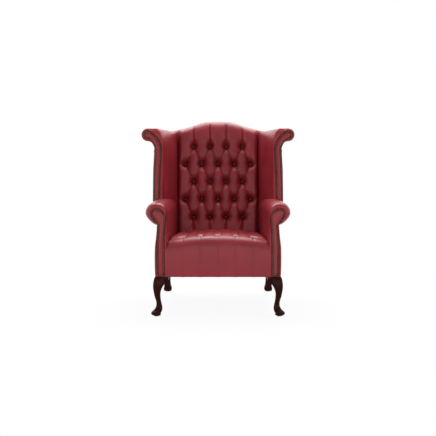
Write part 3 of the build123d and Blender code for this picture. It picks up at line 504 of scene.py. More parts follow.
def make_seat():
    """The sprung seat: front border, rolled edge and buttoned top."""
    split = 22
    du, dv = SEAT_COLUMN / 2 / split, SEAT_PITCH / split
    u = button_grid(SEAT_HALF, du)
    rows = [SEAT_FIRST + SEAT_PITCH * r for r in range(SEAT_ROWS)]
    spots, pleats = tuft_pattern(rows, 4, SEAT_COLUMN, False)
    buttons = [s for row in spots for s in row]
    rear_edge = back_y(SEAT_HEIGHT - SEAT_RELIEF - SEAT_DROP, -BACK_RELIEF - 1.0)
    for a in spots[-1]:
        pleats.append((a, (a[0], rear_edge), 1.0, 0.4, 0.45))
    pleats += side_pleats(spots[1::2] + spots[0::2], SEAT_HALF, 0.9, 0.12, 0.16)
    grid = np.arange(-9, int((rear_edge - SEAT_FIRST) // dv) + 1) * dv + SEAT_FIRST
    y = np.concatenate([grid, [rear_edge]])
    U, Y = np.meshgrid(u, y)
    full = relief(U, Y, buttons, pleats, SEAT_PIT)
    full *= rounded(Y, rear_edge, 26) * rounded(np.abs(U), SEAT_HALF, 24)
    seam = grooves(U, spots[0], 5.0)
    full = full + (1.0 - 0.16 * seam - full) * smooth_step((SEAT_FIRST - Y) / 26)
    rise = 2 * RISE_DROP / math.tan(ROLL_TILT)
    low = RISE_DROP * np.clip(1 - (Y - y[0]) / rise, 0, 1) ** 2
    top_level = SEAT_HEIGHT + 3.0 - seat_fall(U) - seat_slope(Y)
    Z = top_level - low - (SEAT_RELIEF + 3.0 - low) * (1 - full)
    groove = grooves(u, spots[0], 5.0)
    # Front roll: from the upright border to the first grid line of the top
    phi = np.linspace(0, math.pi / 2 - ROLL_TILT, 18)[:-1]
    top = Z[0]
    foot = SEAT_EDGE - 2.0 - seat_fall(u)
    run = (y[0] - ARM_FRONT) / (1 - math.sin(ROLL_TILT))
    roll_y, roll_z = [], []
    for p in phi:
        c, s = math.cos(p), math.sin(p)
        cut = groove * (1.1 + 1.6 * s)
        roll_y.append(ARM_FRONT + run * (1 - c) + cut * c - 0.5 * (1 - s))
        roll_z.append(foot + (top - foot) * s / math.cos(ROLL_TILT) - cut * s)
    front = [(RAIL_BOTTOM, 0.0), (RAIL_BOTTOM + 4, -0.2)]
    front += [(RAIL_BOTTOM + 8 + k * 14.5, -0.5) for k in range(9)]
    front_y, front_z = [], []
    for h, puff in front:
        part = (h - RAIL_BOTTOM) / (foot - RAIL_BOTTOM)
        swell = 2.0 * np.sin(np.pi * np.clip(part, 0, 1)) * (1 - 0.6 * groove)
        front_y.append(ARM_FRONT + puff - swell + 1.0 * groove)
        front_z.append(RAIL_BOTTOM + (h - RAIL_BOTTOM) / BORDER_HEIGHT * (foot - RAIL_BOTTOM) * 0.97
                       - (1.2 * groove if h == RAIL_BOTTOM else 0))
    under, rail_face = SEAT_BASE + 1.0, FRAME_FRONT - 0.6
    closing = [(rear_edge, under), (rail_face, under), (rail_face, RAIL_BOTTOM)]
    all_y = np.concatenate([front_y, roll_y, Y] + [np.full((1, len(u)), a) for a, _ in closing])
    all_z = np.concatenate([front_z, roll_z, Z] + [np.full((1, len(u)), b) for _, b in closing])
    # Across: as wide as the border below, and between the arms above
    inner = roll_x((all_y - ARM_FRONT) / (ARM_REAR - ARM_FRONT)) - ROLL_R - 0.6
    border = (1 - smooth_step((all_z - BORDER_TOP) / BORDER_FADE)) * (all_y < FRAME_FRONT)
    half = inner + (FACING_INNER - 0.6 - inner) * border
    flare = smooth_step((np.abs(u)[None] - SEAT_FLARE) / (SEAT_HALF - SEAT_FLARE))
    all_x = u[None] * (1 + (half / SEAT_HALF - 1) * flare)
    verts = np.stack([all_x, all_y, all_z], 2).reshape(-1, 3)
    height = np.concatenate([-np.array(front_y), -np.array(roll_y) + np.array(roll_z), Z,
                             np.zeros((len(closing), len(u)))])
    fold_shaded = np.zeros(height.shape)
    start = len(front_y) + len(roll_y)
    # Painted shade in the pits and valleys of the buttoned top
    fold_shaded[start:start + len(y)] = smooth_step((0.5 - full) / 0.5)
    # A painted dark band across the front roll, just above its foot, where the roll turns down
    fold_shaded[:start] = 0.34 * np.exp(-((all_z[:start] - (foot + 12.0)[None]) / 16.0) ** 2)
    cushion = leather_piece("seat_cushion", verts, valley_faces(height), fold_shaded.reshape(-1))
    ground = SEAT_HEIGHT - SEAT_RELIEF + 2
    return cushion, [(x, v, ground - seat_slope(v) - float(seat_fall(np.array(x)))) for x, v in buttons]


# Arms and wings
def facing_points():
    """Outline of the right arm's nailed front: inner edge, head, throat and outer edge."""
    head = (ROLL_FRONT_X, ROLL_Z)
    shoulder = (FACING_INNER - 8.0, ARM_SHOULDER)
    crown = (head[0] - 1.31 * FACING_R, head[1] + 0.34 * FACING_R)
    top = (head[0], head[1] + FACING_R)
    neck = (FRAME_HALF - 7.0, head[1] - 2.3 * FACING_R)
    rise = [(FACING_INNER, SEAT_BASE), (FACING_INNER, ARM_WAIST), shoulder]
    curl = np.concatenate([arc(shoulder, crown, top, 20), turn(head, FACING_R, 90, -36, 24)[1:], [neck]])
    return rise, curl, neck


def arm_rings():
    """Outer section of the arm as a function of place, and the facing's edge, point for point."""
    rise, curl, _ = facing_points()

    def outer(roll_middle, wall_inset, roll_inset):
        # Up the inner wall, over and under the roll, then across and down inside the frame
        r = ROLL_R - (wall_inset + roll_inset) / 2
        c = (roll_middle + (wall_inset - roll_inset) / 2, ROLL_Z)
        left = c[0] - r
        wall = np.linspace((left, SEAT_BASE), (left, ARM_SHOULDER), ARM_COUNTS[0], endpoint=False)
        low = np.radians(np.linspace(0, 93, 44))[1:]
        reach = r * (1 - 0.093 * np.sin(2 * low).clip(0) ** 1.4 + 0.07 * (low / low[-1]) ** 3)
        under = np.stack([c[0] + reach * np.cos(low), c[1] - reach * np.sin(low)], 1)
        head = np.concatenate([[(left, ARM_SHOULDER)], turn(c, r, 180, 0, 60), under])
        head = resample(head, ARM_COUNTS[1])
        end = head[-1]
        across = np.linspace(end, (FRAME_INNER, end[1]), ARM_COUNTS[2] + 1)[1:]
        down = np.linspace((FRAME_INNER, end[1]), (FRAME_INNER, SEAT_BASE), ARM_COUNTS[3] + 1)[1:]
        floor = np.linspace((FRAME_INNER, SEAT_BASE), (left, SEAT_BASE), ARM_COUNTS[4] + 1)[1:-1]
        return np.concatenate([wall, head, across, down, floor])

    edge = np.concatenate([resample(rise, ARM_COUNTS[0] + 1)[:-1], resample(curl, ARM_COUNTS[1])])
    return outer, edge


def make_arm(side):
    """One arm: nailed front's padded band, seam, roll and inner wall."""
    outer, edge = arm_rings()
    strip = sum(ARM_COUNTS[:2])
    sample = outer(ROLL_FRONT_X, 8.0, 20.0)
    total = len(sample)
    middle = sample[strip:].mean(0)
    inner = np.concatenate([edge, sample[strip:] + (middle - sample[strip:]) * 0.4])
    angle = np.degrees(np.arctan2(sample[:, 1] - ROLL_Z, sample[:, 0] - ROLL_FRONT_X))
    on_wall = np.arange(total) < ARM_COUNTS[0]
    on_strip = np.arange(total) < strip
    pleat = np.zeros(total)
    for a, width in ((118, 2.6), (92, 2.2), (62, 2.8), (28, 2.4), (-2, 2.8), (-34, 2.6)):
        pleat += np.exp(-np.abs(angle - a) / width) * ~on_wall
    rings = []

    def put(xz, y):
        # In front of the frame the inner wall starts higher, above the seat's border
        z = xz[:, 1].copy()
        front = (y < FRAME_FRONT + 1) & on_wall
        squeeze = (ARM_SHOULDER - WALL_FOOT) / (ARM_SHOULDER - SEAT_BASE)
        z[front] = WALL_FOOT + (z[front] - SEAT_BASE) * squeeze
        rings.append(np.stack([xz[:, 0], y, z], 1))

    hidden = ARM_FRONT + 52.0
    put(inner, np.full(total, hidden))
    put(inner, np.where(on_strip, ARM_FRONT + 1.2, hidden))
    for w in (0.06, 0.16, 0.3, 0.45, 0.6, 0.75, 0.88, 0.96):
        bulge = 4.2 * math.sin(math.pi * w) ** 0.7
        cut = pleat * (1.6 * w + 0.8)
        xz = inner + (sample - inner) * w
        put(xz, np.where(on_strip, ARM_FRONT - bulge + 0.8 + cut, hidden))
    for wall, roll, y, keep in ((8.0, 20.0, 0.6, 1.0), (7.6, 18.6, 0.8, 1.0), (6.9, 16.8, 1.6, 0.8),
                                (5.8, 14.4, 3.6, 0.5), (4.6, 11.8, 7.0, 0.3), (3.2, 9.0, 12.0, 0.15),
                                (2.0, 6.2, 19.0, 0.0), (1.1, 3.9, 27.0, 0.0), (0.4, 2.0, 36.0, 0.0),
                                (0.1, 0.8, 44.0, 0.0)):
        xz = outer(ROLL_FRONT_X, wall, roll)
        put(xz, np.where(on_strip, ARM_FRONT + y + 0.8 * keep * pleat, hidden + 0.02 * (y + 1)))
    front_y = ARM_FRONT + 38.0
    for t in np.linspace(0, 1, 40)[1:]:
        fade = max(1 - t / 0.16, 0.0) ** 2
        xz = outer(roll_x(t), 0.2 * fade, 1.5 * fade)
        rear = back_y(xz[:, 1], POST_REAR - 0.6)
        start = np.where(on_strip, front_y, hidden + 1.0)
        rings.append(np.stack([xz[:, 0], start + (rear - start) * t, xz[:, 1]], 1))
    verts = np.concatenate(rings)
    verts[:, 0] *= side
    first, last = 2, 17
    # Painted shade along the radial pleats of the front band
    fold_shade = np.zeros(len(verts))
    fold_shade[first * total:last * total] = np.tile(np.clip(pleat, 0, 1) * 0.6, last - first)
    return leather_piece(SIDES[side] + "_arm_cushion", verts, ring_faces(total, len(rings)), fold_shade)


def strip_points():
    """Outline of the right wing's nailed front, point for point with the wing's section."""
    on_wall, on_head, on_roll, on_throat, on_outer = WING_COUNTS
    head, r = SCROLL, STRIP_R
    start = (head[0], head[1] + r)
    inner = (FRAME_HALF - 6.0, STRIP_TOP)
    crown = (inner[0] + (start[0] - inner[0]) * 0.2, inner[1] + (start[1] - inner[1]) * 0.6)
    throat = (head[0] - 1.04 * r, head[1] - 1.96 * r)
    neck = (STRIP_OUTER - 6.0, head[1] - 3.6 * r)
    wall = resample([(FRAME_HALF, WING_FOOT), (FRAME_HALF, STRIP_BEND), inner], on_wall + 1)[:-1]
    curl = resample(arc(inner, crown, start, 30), on_head + 1)[:-1]
    roll = turn(head, r, 90, -90, on_roll + 1)[:-1]
    under = resample(arc((head[0], head[1] - r), throat, neck, 30), on_throat + 1)[:-1]
    down = resample([neck, (STRIP_OUTER, STRIP_BEND), (STRIP_OUTER, WING_FOOT)], on_outer + 1)
    return np.concatenate([wall, curl, roll, under, down])


def wing_points(t, inset):
    """Section of the wing at a share of its depth, drawn in by inset."""
    def blend(a, b):
        return a + (b - a) * t

    inner = blend(WING_INNER, WING_REAR_INNER) + inset
    outer = blend(WING_OUTER, WING_REAR_OUTER) - inset
    shoulder = blend(SHOULDER, SHOULDER_REAR)
    c = (blend(SCROLL[0], SCROLL_REAR_X), SCROLL[1])
    r = blend(SCROLL_R, SCROLL_REAR_R) - inset
    top, bottom = c[1] + r, c[1] - r
    run = blend(CURL_RUN_FRONT, CURL_RUN_REAR)
    rise = np.sin(np.linspace(0, math.pi / 2, 40))
    round_over = 1 - np.sqrt(1 - rise ** 2)
    gentle = 0.42 * rise ** 2.2 + 0.58 * (1 - np.sqrt(1 - rise ** blend(6.0, 12.0)))
    lean = round_over + (gentle - round_over) * min(1.6 * t + 0.25, 1.0)
    edge = np.stack([inner + run * lean, shoulder + (top - shoulder) * rise], 1)
    throat = (outer + (c[0] - outer) * 0.08, bottom - THROAT_DROP * 0.3)
    neck = (outer, bottom - THROAT_DROP)
    wall = np.linspace((inner, WING_FOOT), (inner, shoulder), WING_COUNTS[0] + 1)[:-1]
    curl = resample(np.concatenate([edge, [(c[0], top)]]), WING_COUNTS[1] + 1)[:-1]
    roll = turn(c, r, 90, -90, WING_COUNTS[2] + 1)[:-1]
    under = resample(arc((c[0], bottom), throat, neck, 24), WING_COUNTS[3] + 1)[:-1]
    down = np.linspace(neck, (outer, WING_FOOT), WING_COUNTS[4] + 1)
    down[2:, 0] -= SIDE_SKIN
    return np.concatenate([wall, curl, roll, under, down])


def wing_slim(z, depth):
    """How far the front of the wing's outside is drawn in below its scroll."""
    above, below = smooth_step((z - SLIM_LOW) / 120.0), smooth_step((SLIM_TOP - z) / 15.0)
    return SLIM * (1 - smooth_step(depth / SLIM_REACH)) * above * below


def over_arm(points, gap=3.0):
    """Keeps points (x, y, z) of a wing from going below the arm's roll."""
    x, y, z = points.T
    centre = roll_x((y - ARM_FRONT) / (ARM_REAR - ARM_FRONT))
    level = ROLL_Z + np.sqrt(np.clip(ROLL_R ** 2 - (x - centre) ** 2, 0, None)) - gap
    squeezed = level + (z - WING_FOOT) * (WING_FREE - level) / (WING_FREE - WING_FOOT)
    points[:, 2] = np.where(z < WING_FREE, squeezed, z)
    return points


def make_wing(side):
    """One wing: padded front band, scrolled roll and inner face."""
    edge = strip_points()
    total = len(edge)
    sample = wing_points(0.0, 8.0)
    outside = np.arange(total) >= sum(WING_COUNTS[:3])
    sample[outside, 0] -= wing_slim(sample[outside, 1], 0.6)
    board = edge[outside][::-1].copy()
    edge[outside, 0] = np.minimum(edge[outside, 0], sample[outside, 0] - 1.5)
    rings = []

    def over_board(xz, depth):
        # From 11 to 36 mm behind the front the outside stays over the wooden board, and elsewhere it may
        # go below it, where the front strip or the rest of the roll hides the board
        hidden = 12.0 if depth < 11.0 else 60.0 * smooth_step((depth - 36.0) / 40.0)
        cover = np.interp(xz[:, 1], board[:, 1], board[:, 0]) + 1.6 - hidden
        slim = xz[:, 0] - wing_slim(xz[:, 1], depth)
        xz[:, 0] = np.where(outside, np.maximum(slim, cover), xz[:, 0])
        return xz

    def put(xz, depth):
        points = over_arm(np.stack([xz[:, 0], back_y(xz[:, 1], depth), xz[:, 1]], 1))
        points[:, 1] = back_y(points[:, 2], depth)
        rings.append(points)

    front = -WING_DEPTH
    put(edge, front + 35.0)
    put(edge, front + 1.2)
    for w in (0.08, 0.2, 0.36, 0.52, 0.68, 0.82, 0.94):
        bulge = 4.6 * math.sin(math.pi * w) ** 0.7 * np.clip(np.hypot(*(sample - edge).T) / 12, 0.15, 1)
        put(edge + (sample - edge) * w, front + 0.8 - bulge)
    for inset, y in ((8.0, 0.6), (6.6, 0.2), (4.6, 1.0), (2.6, 3.2), (1.0, 7.0), (0.2, 11.5), (0.0, 16.0)):
        put(over_board(wing_points(0.0, inset), y), front + y)
    span = WING_DEPTH + POST_REAR
    for d in np.linspace(16.0, WING_DEPTH - 0.5, 30)[1:]:
        put(over_board(wing_points(d / span, 0.0), d), front + d)
    for d, inset in ((WING_DEPTH - 0.4, 0.0), (WING_DEPTH + 20, 0.0), (WING_DEPTH + 50, 0.0),
                     (span - 6.0, 0.0), (span - 2.0, 1.2), (span - 0.6, 3.6)):
        xz = wing_points(d / span, inset)
        xz[:, 0] = np.maximum(xz[:, 0], PAD_HALF + 0.5)
        put(xz, front + d)
    verts = np.concatenate(rings)
    verts[:, 0] *= side
    return leather_piece(SIDES[side] + "_wing_cushion", verts, ring_faces(total, len(rings)))


# Flat padded panels
def outline_distance(points, outline):
    """Distance of each point to a closed outline."""
    a = np.array(outline, float)
    b = np.roll(a, -1, axis=0)
    d = b - a
    length2 = np.maximum((d ** 2).sum(1), 1e-12)
    best = np.full(len(points), 1e9)
    for k in range(len(a)):
        s = np.clip(((points - a[k]) @ d[k]) / length2[k], 0, 1)
        best = np.minimum(best, np.hypot(*(points - a[k] - s[:, None] * d[k]).T))
    return best


def padded_panel(name, outline, place, thickness, step, edge_round, profile, nailed=True):
    """A closed pad over a flat outline: face raised by profile(dist), rounded edge and flat rear.
    place(u, v, rise) gives its points, where rise is how far they stand in front of the panel's face."""
    outline = np.array(outline, float)
    low, high = outline.min(0), outline.max(0)
    gu, gv = np.meshgrid(*(np.arange(low[k] + step / 2, high[k], step) for k in (0, 1)))
    grid = np.stack([gu.ravel(), gv.ravel()], 1)
    inside = np.zeros(len(grid), bool)
    x0, y0 = outline.T
    x1, y1 = np.roll(outline, -1, axis=0).T
    for k in range(len(outline)):
        crosses = (y0[k] > grid[:, 1]) != (y1[k] > grid[:, 1])
        with np.errstate(divide="ignore", invalid="ignore"):
            cut = (x1[k] - x0[k]) * (grid[:, 1] - y0[k]) / (y1[k] - y0[k]) + x0[k]
        inside ^= crosses & (grid[:, 0] < cut)
    grid = grid[inside]
    grid = grid[outline_distance(grid, outline) > 0.6 * step]
    points = np.concatenate([outline, grid])
    edges = [(i, (i + 1) % len(outline)) for i in range(len(outline))]
    co, _, tris, _, _, _ = delaunay_2d_cdt([Vector(p) for p in points], edges, [], 1, 1e-5)
    flat = np.array([tuple(c) for c in co])
    dist = outline_distance(flat, outline)
    rise = -edge_round * (1 - np.sqrt(np.clip(1 - (1 - np.clip(dist / edge_round, 0, 1)) ** 2, 0, 1)))
    rise += profile(dist)
    n = len(flat)
    front = np.stack(place(flat[:, 0], flat[:, 1], rise), 1)
    rear = np.stack(place(flat[:, 0], flat[:, 1], np.full(n, -thickness)), 1)
    faces = [tuple(t) for t in tris] + [tuple(i + n for i in reversed(t)) for t in tris]
    border = {}
    for t in tris:
        for i in range(3):
            a, b = t[i], t[(i + 1) % 3]
            if (b, a) in border:
                del border[(b, a)]
            else:
                border[(a, b)] = True
    faces += [(b, a, a + n, b + n) for a, b in border]
    # Painted shade along the nail rows, where the nail heads shade the leather
    dark = nailed * np.exp(-((dist - NAIL_LINE) / NAIL_SHADOW) ** 2)
    return leather_piece(name, np.concatenate([front, rear]), faces, np.concatenate([dark, np.zeros(n)]))


def closed_arm_front():
    """Whole outline of the right arm's nailed front."""
    rise, curl, neck = facing_points()
    inner_foot, outer_foot = (FACING_INNER, RAIL_BOTTOM), (FRAME_HALF, RAIL_BOTTOM)
    return np.concatenate([resample([inner_foot, (FACING_INNER, ARM_WAIST), rise[-1]], 60)[:-1],
                           resample(curl, 60)[:-1],
                           resample([neck, (FRAME_HALF, ARM_WAIST), outer_foot], 56)[:-1],
                           resample([outer_foot, inner_foot], 9)[:-1]])


def make_facings(side):
    """The padded fronts of one arm and one wing, raised between their nail rows."""
    def arm_place(u, v, rise):
        return side * u, ARM_FRONT - rise, v

    def wing_place(u, v, rise):
        return side * u, back_y(v, -WING_DEPTH - rise), v

    def between_nails(crown):
        return lambda d: crown * smooth_step((d - 9.5) / 12.0) - 0.5 * np.exp(-((d - NAIL_LINE) / 3.0) ** 2)

    strip = strip_points()
    points = np.stack([strip[:, 0], back_y(strip[:, 1], -WING_DEPTH), strip[:, 1]], 1)
    wing_outline = over_arm(points, 1.0)[:, [0, 2]]
    arm = padded_panel(SIDES[side] + "_arm_front", closed_arm_front(), arm_place, FACING_DEPTH, 3.4, 1.4,
                       between_nails(4.0))
    wing = padded_panel(SIDES[side] + "_wing_front", wing_outline, wing_place, FACING_DEPTH, 3.2, 1.4,
                        between_nails(3.2))
    return arm, wing


def slab(name, outer, inner, edge_u, edge_v, least):
    """A closed skin between two faces given over a square of shares, with its edges rounded."""
    nu, nv = 60, 44
    s, t = np.meshgrid(np.linspace(0, 1, nu), np.linspace(0, 1, nv))
    a, b = np.stack(outer(s, t), 2), np.stack(inner(s, t), 2)
    near = np.clip(np.minimum(np.minimum(s, 1 - s) / edge_u, np.minimum(t, 1 - t) / edge_v), 0, 1)
    keep = least + (1 - least) * np.sqrt(np.clip(1 - (1 - near) ** 2, 0, 1))
    face = b + (a - b) * keep[..., None]
    verts = np.concatenate([face.reshape(-1, 3), b.reshape(-1, 3)])
    idx = np.arange(nu * nv).reshape(nv, nu)
    n = nu * nv
    faces = []
    for j in range(nv - 1):
        for i in range(nu - 1):
            q = (idx[j, i], idx[j, i + 1], idx[j + 1, i + 1], idx[j + 1, i])
            faces.append(q)
            faces.append(tuple(k + n for k in reversed(q)))
    rim = list(idx[0]) + list(idx[1:, -1]) + list(idx[-1, -2::-1]) + list(idx[-2:0:-1, 0])
    for p, q in zip(rim, rim[1:] + rim[:1]):
        faces.append((q, p, p + n, q + n))
    return leather_piece(name, verts, faces)


def make_sides(side):
    """The leather over the outside of one arm and one wing."""
    heights = (RAIL_BOTTOM, 232.0, 275.0, 320.0, 349.0, 370.0, 391.0, 412.0, 432.0, 453.0, 474.0, 490.0)
    widths = (333.0, 334.2, 335.2, 335.2, 334.6, 333.4, 331.0, 328.2, 325.9, 324.0, 322.3, 322.0)

    def arm_outer(s, t):
        at_rear = smooth_step((s - 0.55) / 0.3)
        z = RAIL_BOTTOM + (483.0 + 6.0 * at_rear - RAIL_BOTTOM) * t
        x = np.interp(z, heights, widths)
        x += np.maximum(FRAME_HALF + 1.6 - x, 0) * at_rear
        y = ARM_FRONT + (back_y(z, POST_REAR - 0.6) - ARM_FRONT) * s
        return side * x, y, z

    def arm_inner(s, t):
        _, y, z = arm_outer(s, t)
        return side * np.interp(z, (ARM_WAIST, 479.0), (FRAME_HALF + 0.6, FRAME_HALF - 6.4)), y, z

    arm = slab(SIDES[side] + "_arm_side", arm_outer, arm_inner, 0.012, 0.03, 0.85)
    span = WING_DEPTH + POST_REAR

    def wing_outer(s, t):
        d = 12.6 + (span - 13.4) * s
        part = d / span
        x = WING_OUTER + (WING_REAR_OUTER - WING_OUTER) * part
        bottom = SCROLL[1] - (SCROLL_R + (SCROLL_REAR_R - SCROLL_R) * part) - 52.0
        pts = np.stack([x.ravel(), back_y(600.0, d.ravel() - WING_DEPTH), np.full(x.size, WING_FOOT)], 1)
        low = over_arm(pts, 1.0)[:, 2].reshape(x.shape)
        z = low + (bottom - low) * t
        return side * (x - wing_slim(z, d)), back_y(z, d - WING_DEPTH), z

    def wing_inner(s, t):
        x, y, z = wing_outer(s, t)
        return x - side * 6.0, y, z

    wing = slab(SIDES[side] + "_wing_side", wing_outer, wing_inner, 0.014, 0.012, 0.9)
    return arm, wing


def make_outside_back():
    """The plain leather over the outside of the back."""
    half = WING_REAR_OUTER
    x = np.linspace(-half, half, 90)

    def top(u):
        stretched = np.abs(u) * PAD_HALF / half
        blend = smooth_step((np.abs(u) - 125.0) / (half - 125.0))
        return crest_line(np.abs(u)) * (1 - blend) + crest_line(stretched) * blend - 4.0

    crest = np.stack([x, np.minimum(top(x), CREST - 4.0)], 1)
    left = np.linspace((-half, RAIL_BOTTOM), crest[0], 60)[:-1]
    right = np.linspace(crest[-1], (half, RAIL_BOTTOM), 60)[1:]
    floor = np.linspace((half, RAIL_BOTTOM), (-half, RAIL_BOTTOM), 60)[1:-1]
    outline = np.concatenate([left, crest, right, floor])

    def place(u, v, rise):
        return u, back_y(v, BACK_OUTSIDE + rise), v

    return padded_panel("outside_back", outline, place, 11.6, 12.0, 4.0,
                        lambda d: 2.5 * smooth_step(d / 160.0), nailed=False)


# Nails and buttons
FORWARD = Vector((0, -1, 0))
BACK_NORMAL = Vector((0, -1, LEAN)).normalized()
UP = Vector((0, 0, 1))


def centres(node):
    """The middle of each separate solid of a node, in metres."""
    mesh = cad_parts[node].data
    co = np.array([v.co for v in mesh.vertices])
    key = {}
    merged = np.array([key.setdefault(tuple(np.round(c, 6)), len(key)) for c in co])
    parent = list(range(len(key)))

    def find(i):
        while parent[i] != i:
            parent[i] = parent[parent[i]]
            i = parent[i]
        return i

    for edge in mesh.edges:
        a, b = find(merged[edge.vertices[0]]), find(merged[edge.vertices[1]])
        if a != b:
            parent[a] = b
    groups = {}
    for c, m in zip(co, merged):
        groups.setdefault(find(m), []).append(c)
    return [(np.min(g, 0) + np.max(g, 0)) / 2 for g in groups.values()]


def dome_mesh(name, points, normal, head, material):
    """Round domed heads standing on given points in metres."""
    radius, height, blunt, rings, around, sink = head
    other = normal.cross(Vector((1, 0, 0))).normalized()
    across = other.cross(normal).normalized()
    verts, faces = [], []
    for p in points:
        base = len(verts)
        for k in range(rings):
            t = k / rings * math.pi / 2
            r = radius * math.cos(t) ** blunt
            h = height * math.sin(t) - (sink if k == 0 else 0)
            for i in range(around):
                a = 2 * math.pi * (i + 0.5 * (k % 2)) / around
                verts.append(p + across * (r * math.cos(a)) + other * (r * math.sin(a)) + normal * h)
        verts.append(p + normal * height)
        for k in range(rings - 1):
            for i in range(around):
                j = (i + 1) % around
                a, b = base + k * around, base + (k + 1) * around
                faces.append((a + i, a + j, b + j, b + i))
        last = base + (rings - 1) * around
        for i in range(around):
            faces.append((last + i, last + (i + 1) % around, base + rings * around))
        faces.append(tuple(base + i for i in range(around))[::-1])
    return out_facing(smooth_mesh(name, [tuple(v) for v in verts], faces, material))


def make_nails(side):
    """The nail heads of one arm and one wing, with the node that each group replaces."""
    made = []
    for kind, normal in (("arm", FORWARD), ("wing", BACK_NORMAL)):
        node = SIDES[side] + "_" + kind + "_nails"
        seats = [Vector(c) - normal * NAIL_HALF for c in centres(node)]
        made.append((dome_mesh(node[:-1] + "_heads", seats, normal, NAIL_HEAD, brass), node))
    return made


def in_metres(points):
    """Points in mm before the shift, as vectors in metres."""
    return [Vector((x * MM, (y + SHIFT) * MM, z * MM)) for x, y, z in points]


# Every piece in its place
def dress(obj, nodes):
    """Lets a mesh ride on the body and stand for nodes of the solids."""
    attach(obj, "root")
    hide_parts(*nodes)


back, back_spots = make_back()
seat, seat_spots = make_seat()
dress(back, ["back_pad"])
dress(seat, ["seat_pad"])
back_seats = [p + BACK_NORMAL * BUTTON_LIFT for p in in_metres(back_spots)]
back_heads = dome_mesh("back_button_heads", back_seats, BACK_NORMAL, BACK_BUTTON, button_leather)
seat_heads = dome_mesh("seat_button_heads", in_metres(seat_spots), UP, SEAT_BUTTON, button_leather)
dress(back_heads, ["back_buttons"])
dress(seat_heads, ["seat_buttons"])

for side, name in SIDES.items():
    dress(make_arm(side), [name + "_arm_pad"])
    dress(make_wing(side), [name + "_wing_pad"])
    arm_front, wing_front = make_facings(side)
    dress(arm_front, [name + "_arm_facing"])
    dress(wing_front, [name + "_wing_facing"])
    arm_side, wing_side = make_sides(side)
    dress(arm_side, [name + "_outside_arm_panel"])
    dress(wing_side, [name + "_outside_wing_panel"])
    for heads, node in make_nails(side):
        dress(heads, [node])
dress(make_outside_back(), ["outside_back_panel"])

kept = {
    mahogany: ["left_front_leg", "right_front_leg", "left_rear_leg", "right_rear_leg", "knee_blocks"],
    beech: ["front_seat_rail", "rear_seat_rail", "left_seat_rail", "right_seat_rail", "corner_blocks",
            "left_back_post", "right_back_post", "crest_rail", "lower_back_rail", "left_arm_post",
            "right_arm_post", "left_arm_rail", "right_arm_rail", "left_wing_board", "right_wing_board",
            "left_wing_rail", "right_wing_rail"],
    steel: ["seat_springs", "spring_clips", "leg_bolts"],
    jute: ["seat_hessian"],
    web: ["back_webbing"],
    black: ["dust_cover"],
    nylon: ["foot_glides"],
}
for material, names in kept.items():
    for node in names:
        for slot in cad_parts[node].material_slots:
            slot.material = material


# Floor, light and camera
WHITE = (1.0, 1.0, 1.0, 1.0)


def seen_rays(add):
    """1 for rays from the camera and for glossy and transmitted ones, 0 for those that carry light."""
    rays = add("ShaderNodeLightPath").outputs
    direct = add("ShaderNodeMath", operation="MAXIMUM", i0=rays["Is Camera Ray"], i1=rays["Is Glossy Ray"])
    return add("ShaderNodeMath", operation="MAXIMUM", i0=direct.outputs[0],
               i1=rays["Is Transmission Ray"]).outputs[0]


def make_floor():
    """A pale floor that fades into the white background and keeps the chair's shadow."""
    material, add, place = new_material("floor")
    away = add("ShaderNodeVectorMath", operation="LENGTH", i0=place).outputs["Value"]
    far = add("ShaderNodeMapRange", Value=away, i1=0.7, i2=1.7, i3=0.0, i4=1.0).outputs[0]
    plain = add("ShaderNodeBsdfDiffuse", Color=(0.80, 0.80, 0.80, 1.0)).outputs[0]
    glow = add("ShaderNodeEmission", Color=WHITE, Strength=1.0).outputs[0]
    near = add("ShaderNodeMixShader", Fac=0.93, i1=plain, i2=glow).outputs[0]
    shown = add("ShaderNodeMixShader", Fac=far, i1=near, i2=glow).outputs[0]
    mixed = add("ShaderNodeMixShader", Fac=seen_rays(add), i1=plain, i2=shown).outputs[0]
    add("ShaderNodeOutputMaterial", Surface=mixed)
    half = 6.0
    corners = [(-half, -half, 0), (half, -half, 0), (half, half, 0), (-half, half, 0)]
    smooth_mesh("floor", corners, [(0, 1, 2, 3)], material)


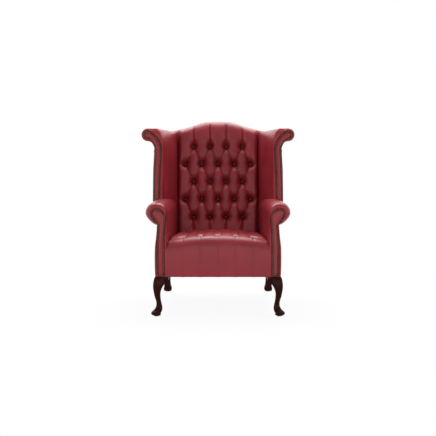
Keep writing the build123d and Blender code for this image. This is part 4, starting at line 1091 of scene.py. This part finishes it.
def make_world():
    """A world that looks white and lights the chair softly."""
    world = bpy.data.worlds.new("studio")
    bpy.context.scene.world = world
    add = node_maker(world)
    soft = add("ShaderNodeBackground", Color=WHITE, Strength=0.22).outputs[0]
    white = add("ShaderNodeBackground", Color=WHITE, Strength=1.0).outputs[0]
    mixed = add("ShaderNodeMixShader", Fac=seen_rays(add), i1=soft, i2=white).outputs[0]
    add("ShaderNodeOutputWorld", Surface=mixed)


def lamp(name, place, target, size, power):
    """A rectangular lamp that shines on a target and isn't seen itself."""
    data = bpy.data.lights.new(name, "AREA")
    data.shape = "RECTANGLE"
    data.size, data.size_y = size
    data.energy = power
    obj = bpy.data.objects.new(name, data)
    bpy.context.scene.collection.objects.link(obj)
    obj.location = place
    obj.rotation_euler = (Vector(target) - Vector(place)).to_track_quat("-Z", "Y").to_euler()
    obj.visible_camera = False


make_floor()
make_world()
MIDDLE = (0.0, 0.0, 0.6)
lamp("over_light", (0.0, 1.25, 3.5), (0.0, -0.38, 0.45), (3.2, 3.1), 205.0)
lamp("front_light", (0.0, -4.8, 0.75), MIDDLE, (3.4, 1.3), 33.0)
lamp("left_light", (-2.8, -2.2, 1.2), MIDDLE, (1.5, 2.2), 31.0)
lamp("right_light", (2.8, -2.2, 1.2), MIDDLE, (1.5, 2.2), 31.0)
lamp("rear_light", (0.0, 3.2, 1.3), (0.0, 0.0, 0.8), (3.2, 1.6), 18.0)

# The photograph's camera: metres and degrees, and its focal length in pixels of the picture's width
CAMERA_BACK, CAMERA_UP, CAMERA_TILT, FOCAL_PX, PHOTO_PX = 4.239, 0.870, 5.156, 734.4, 436
SENSOR = 36.0
camera_data = bpy.data.cameras.new("camera")
camera_data.sensor_width = SENSOR
camera_data.sensor_fit = "HORIZONTAL"
camera_data.lens = SENSOR * FOCAL_PX / PHOTO_PX
camera = bpy.data.objects.new("camera", camera_data)
bpy.context.scene.collection.objects.link(camera)
camera.location = (0.0, -CAMERA_BACK + SHIFT * MM, CAMERA_UP)
camera.rotation_euler = (math.radians(90.0 - CAMERA_TILT), 0.0, 0.0)
bpy.context.scene.camera = camera
bpy.context.scene.view_settings.view_transform = "Standard"
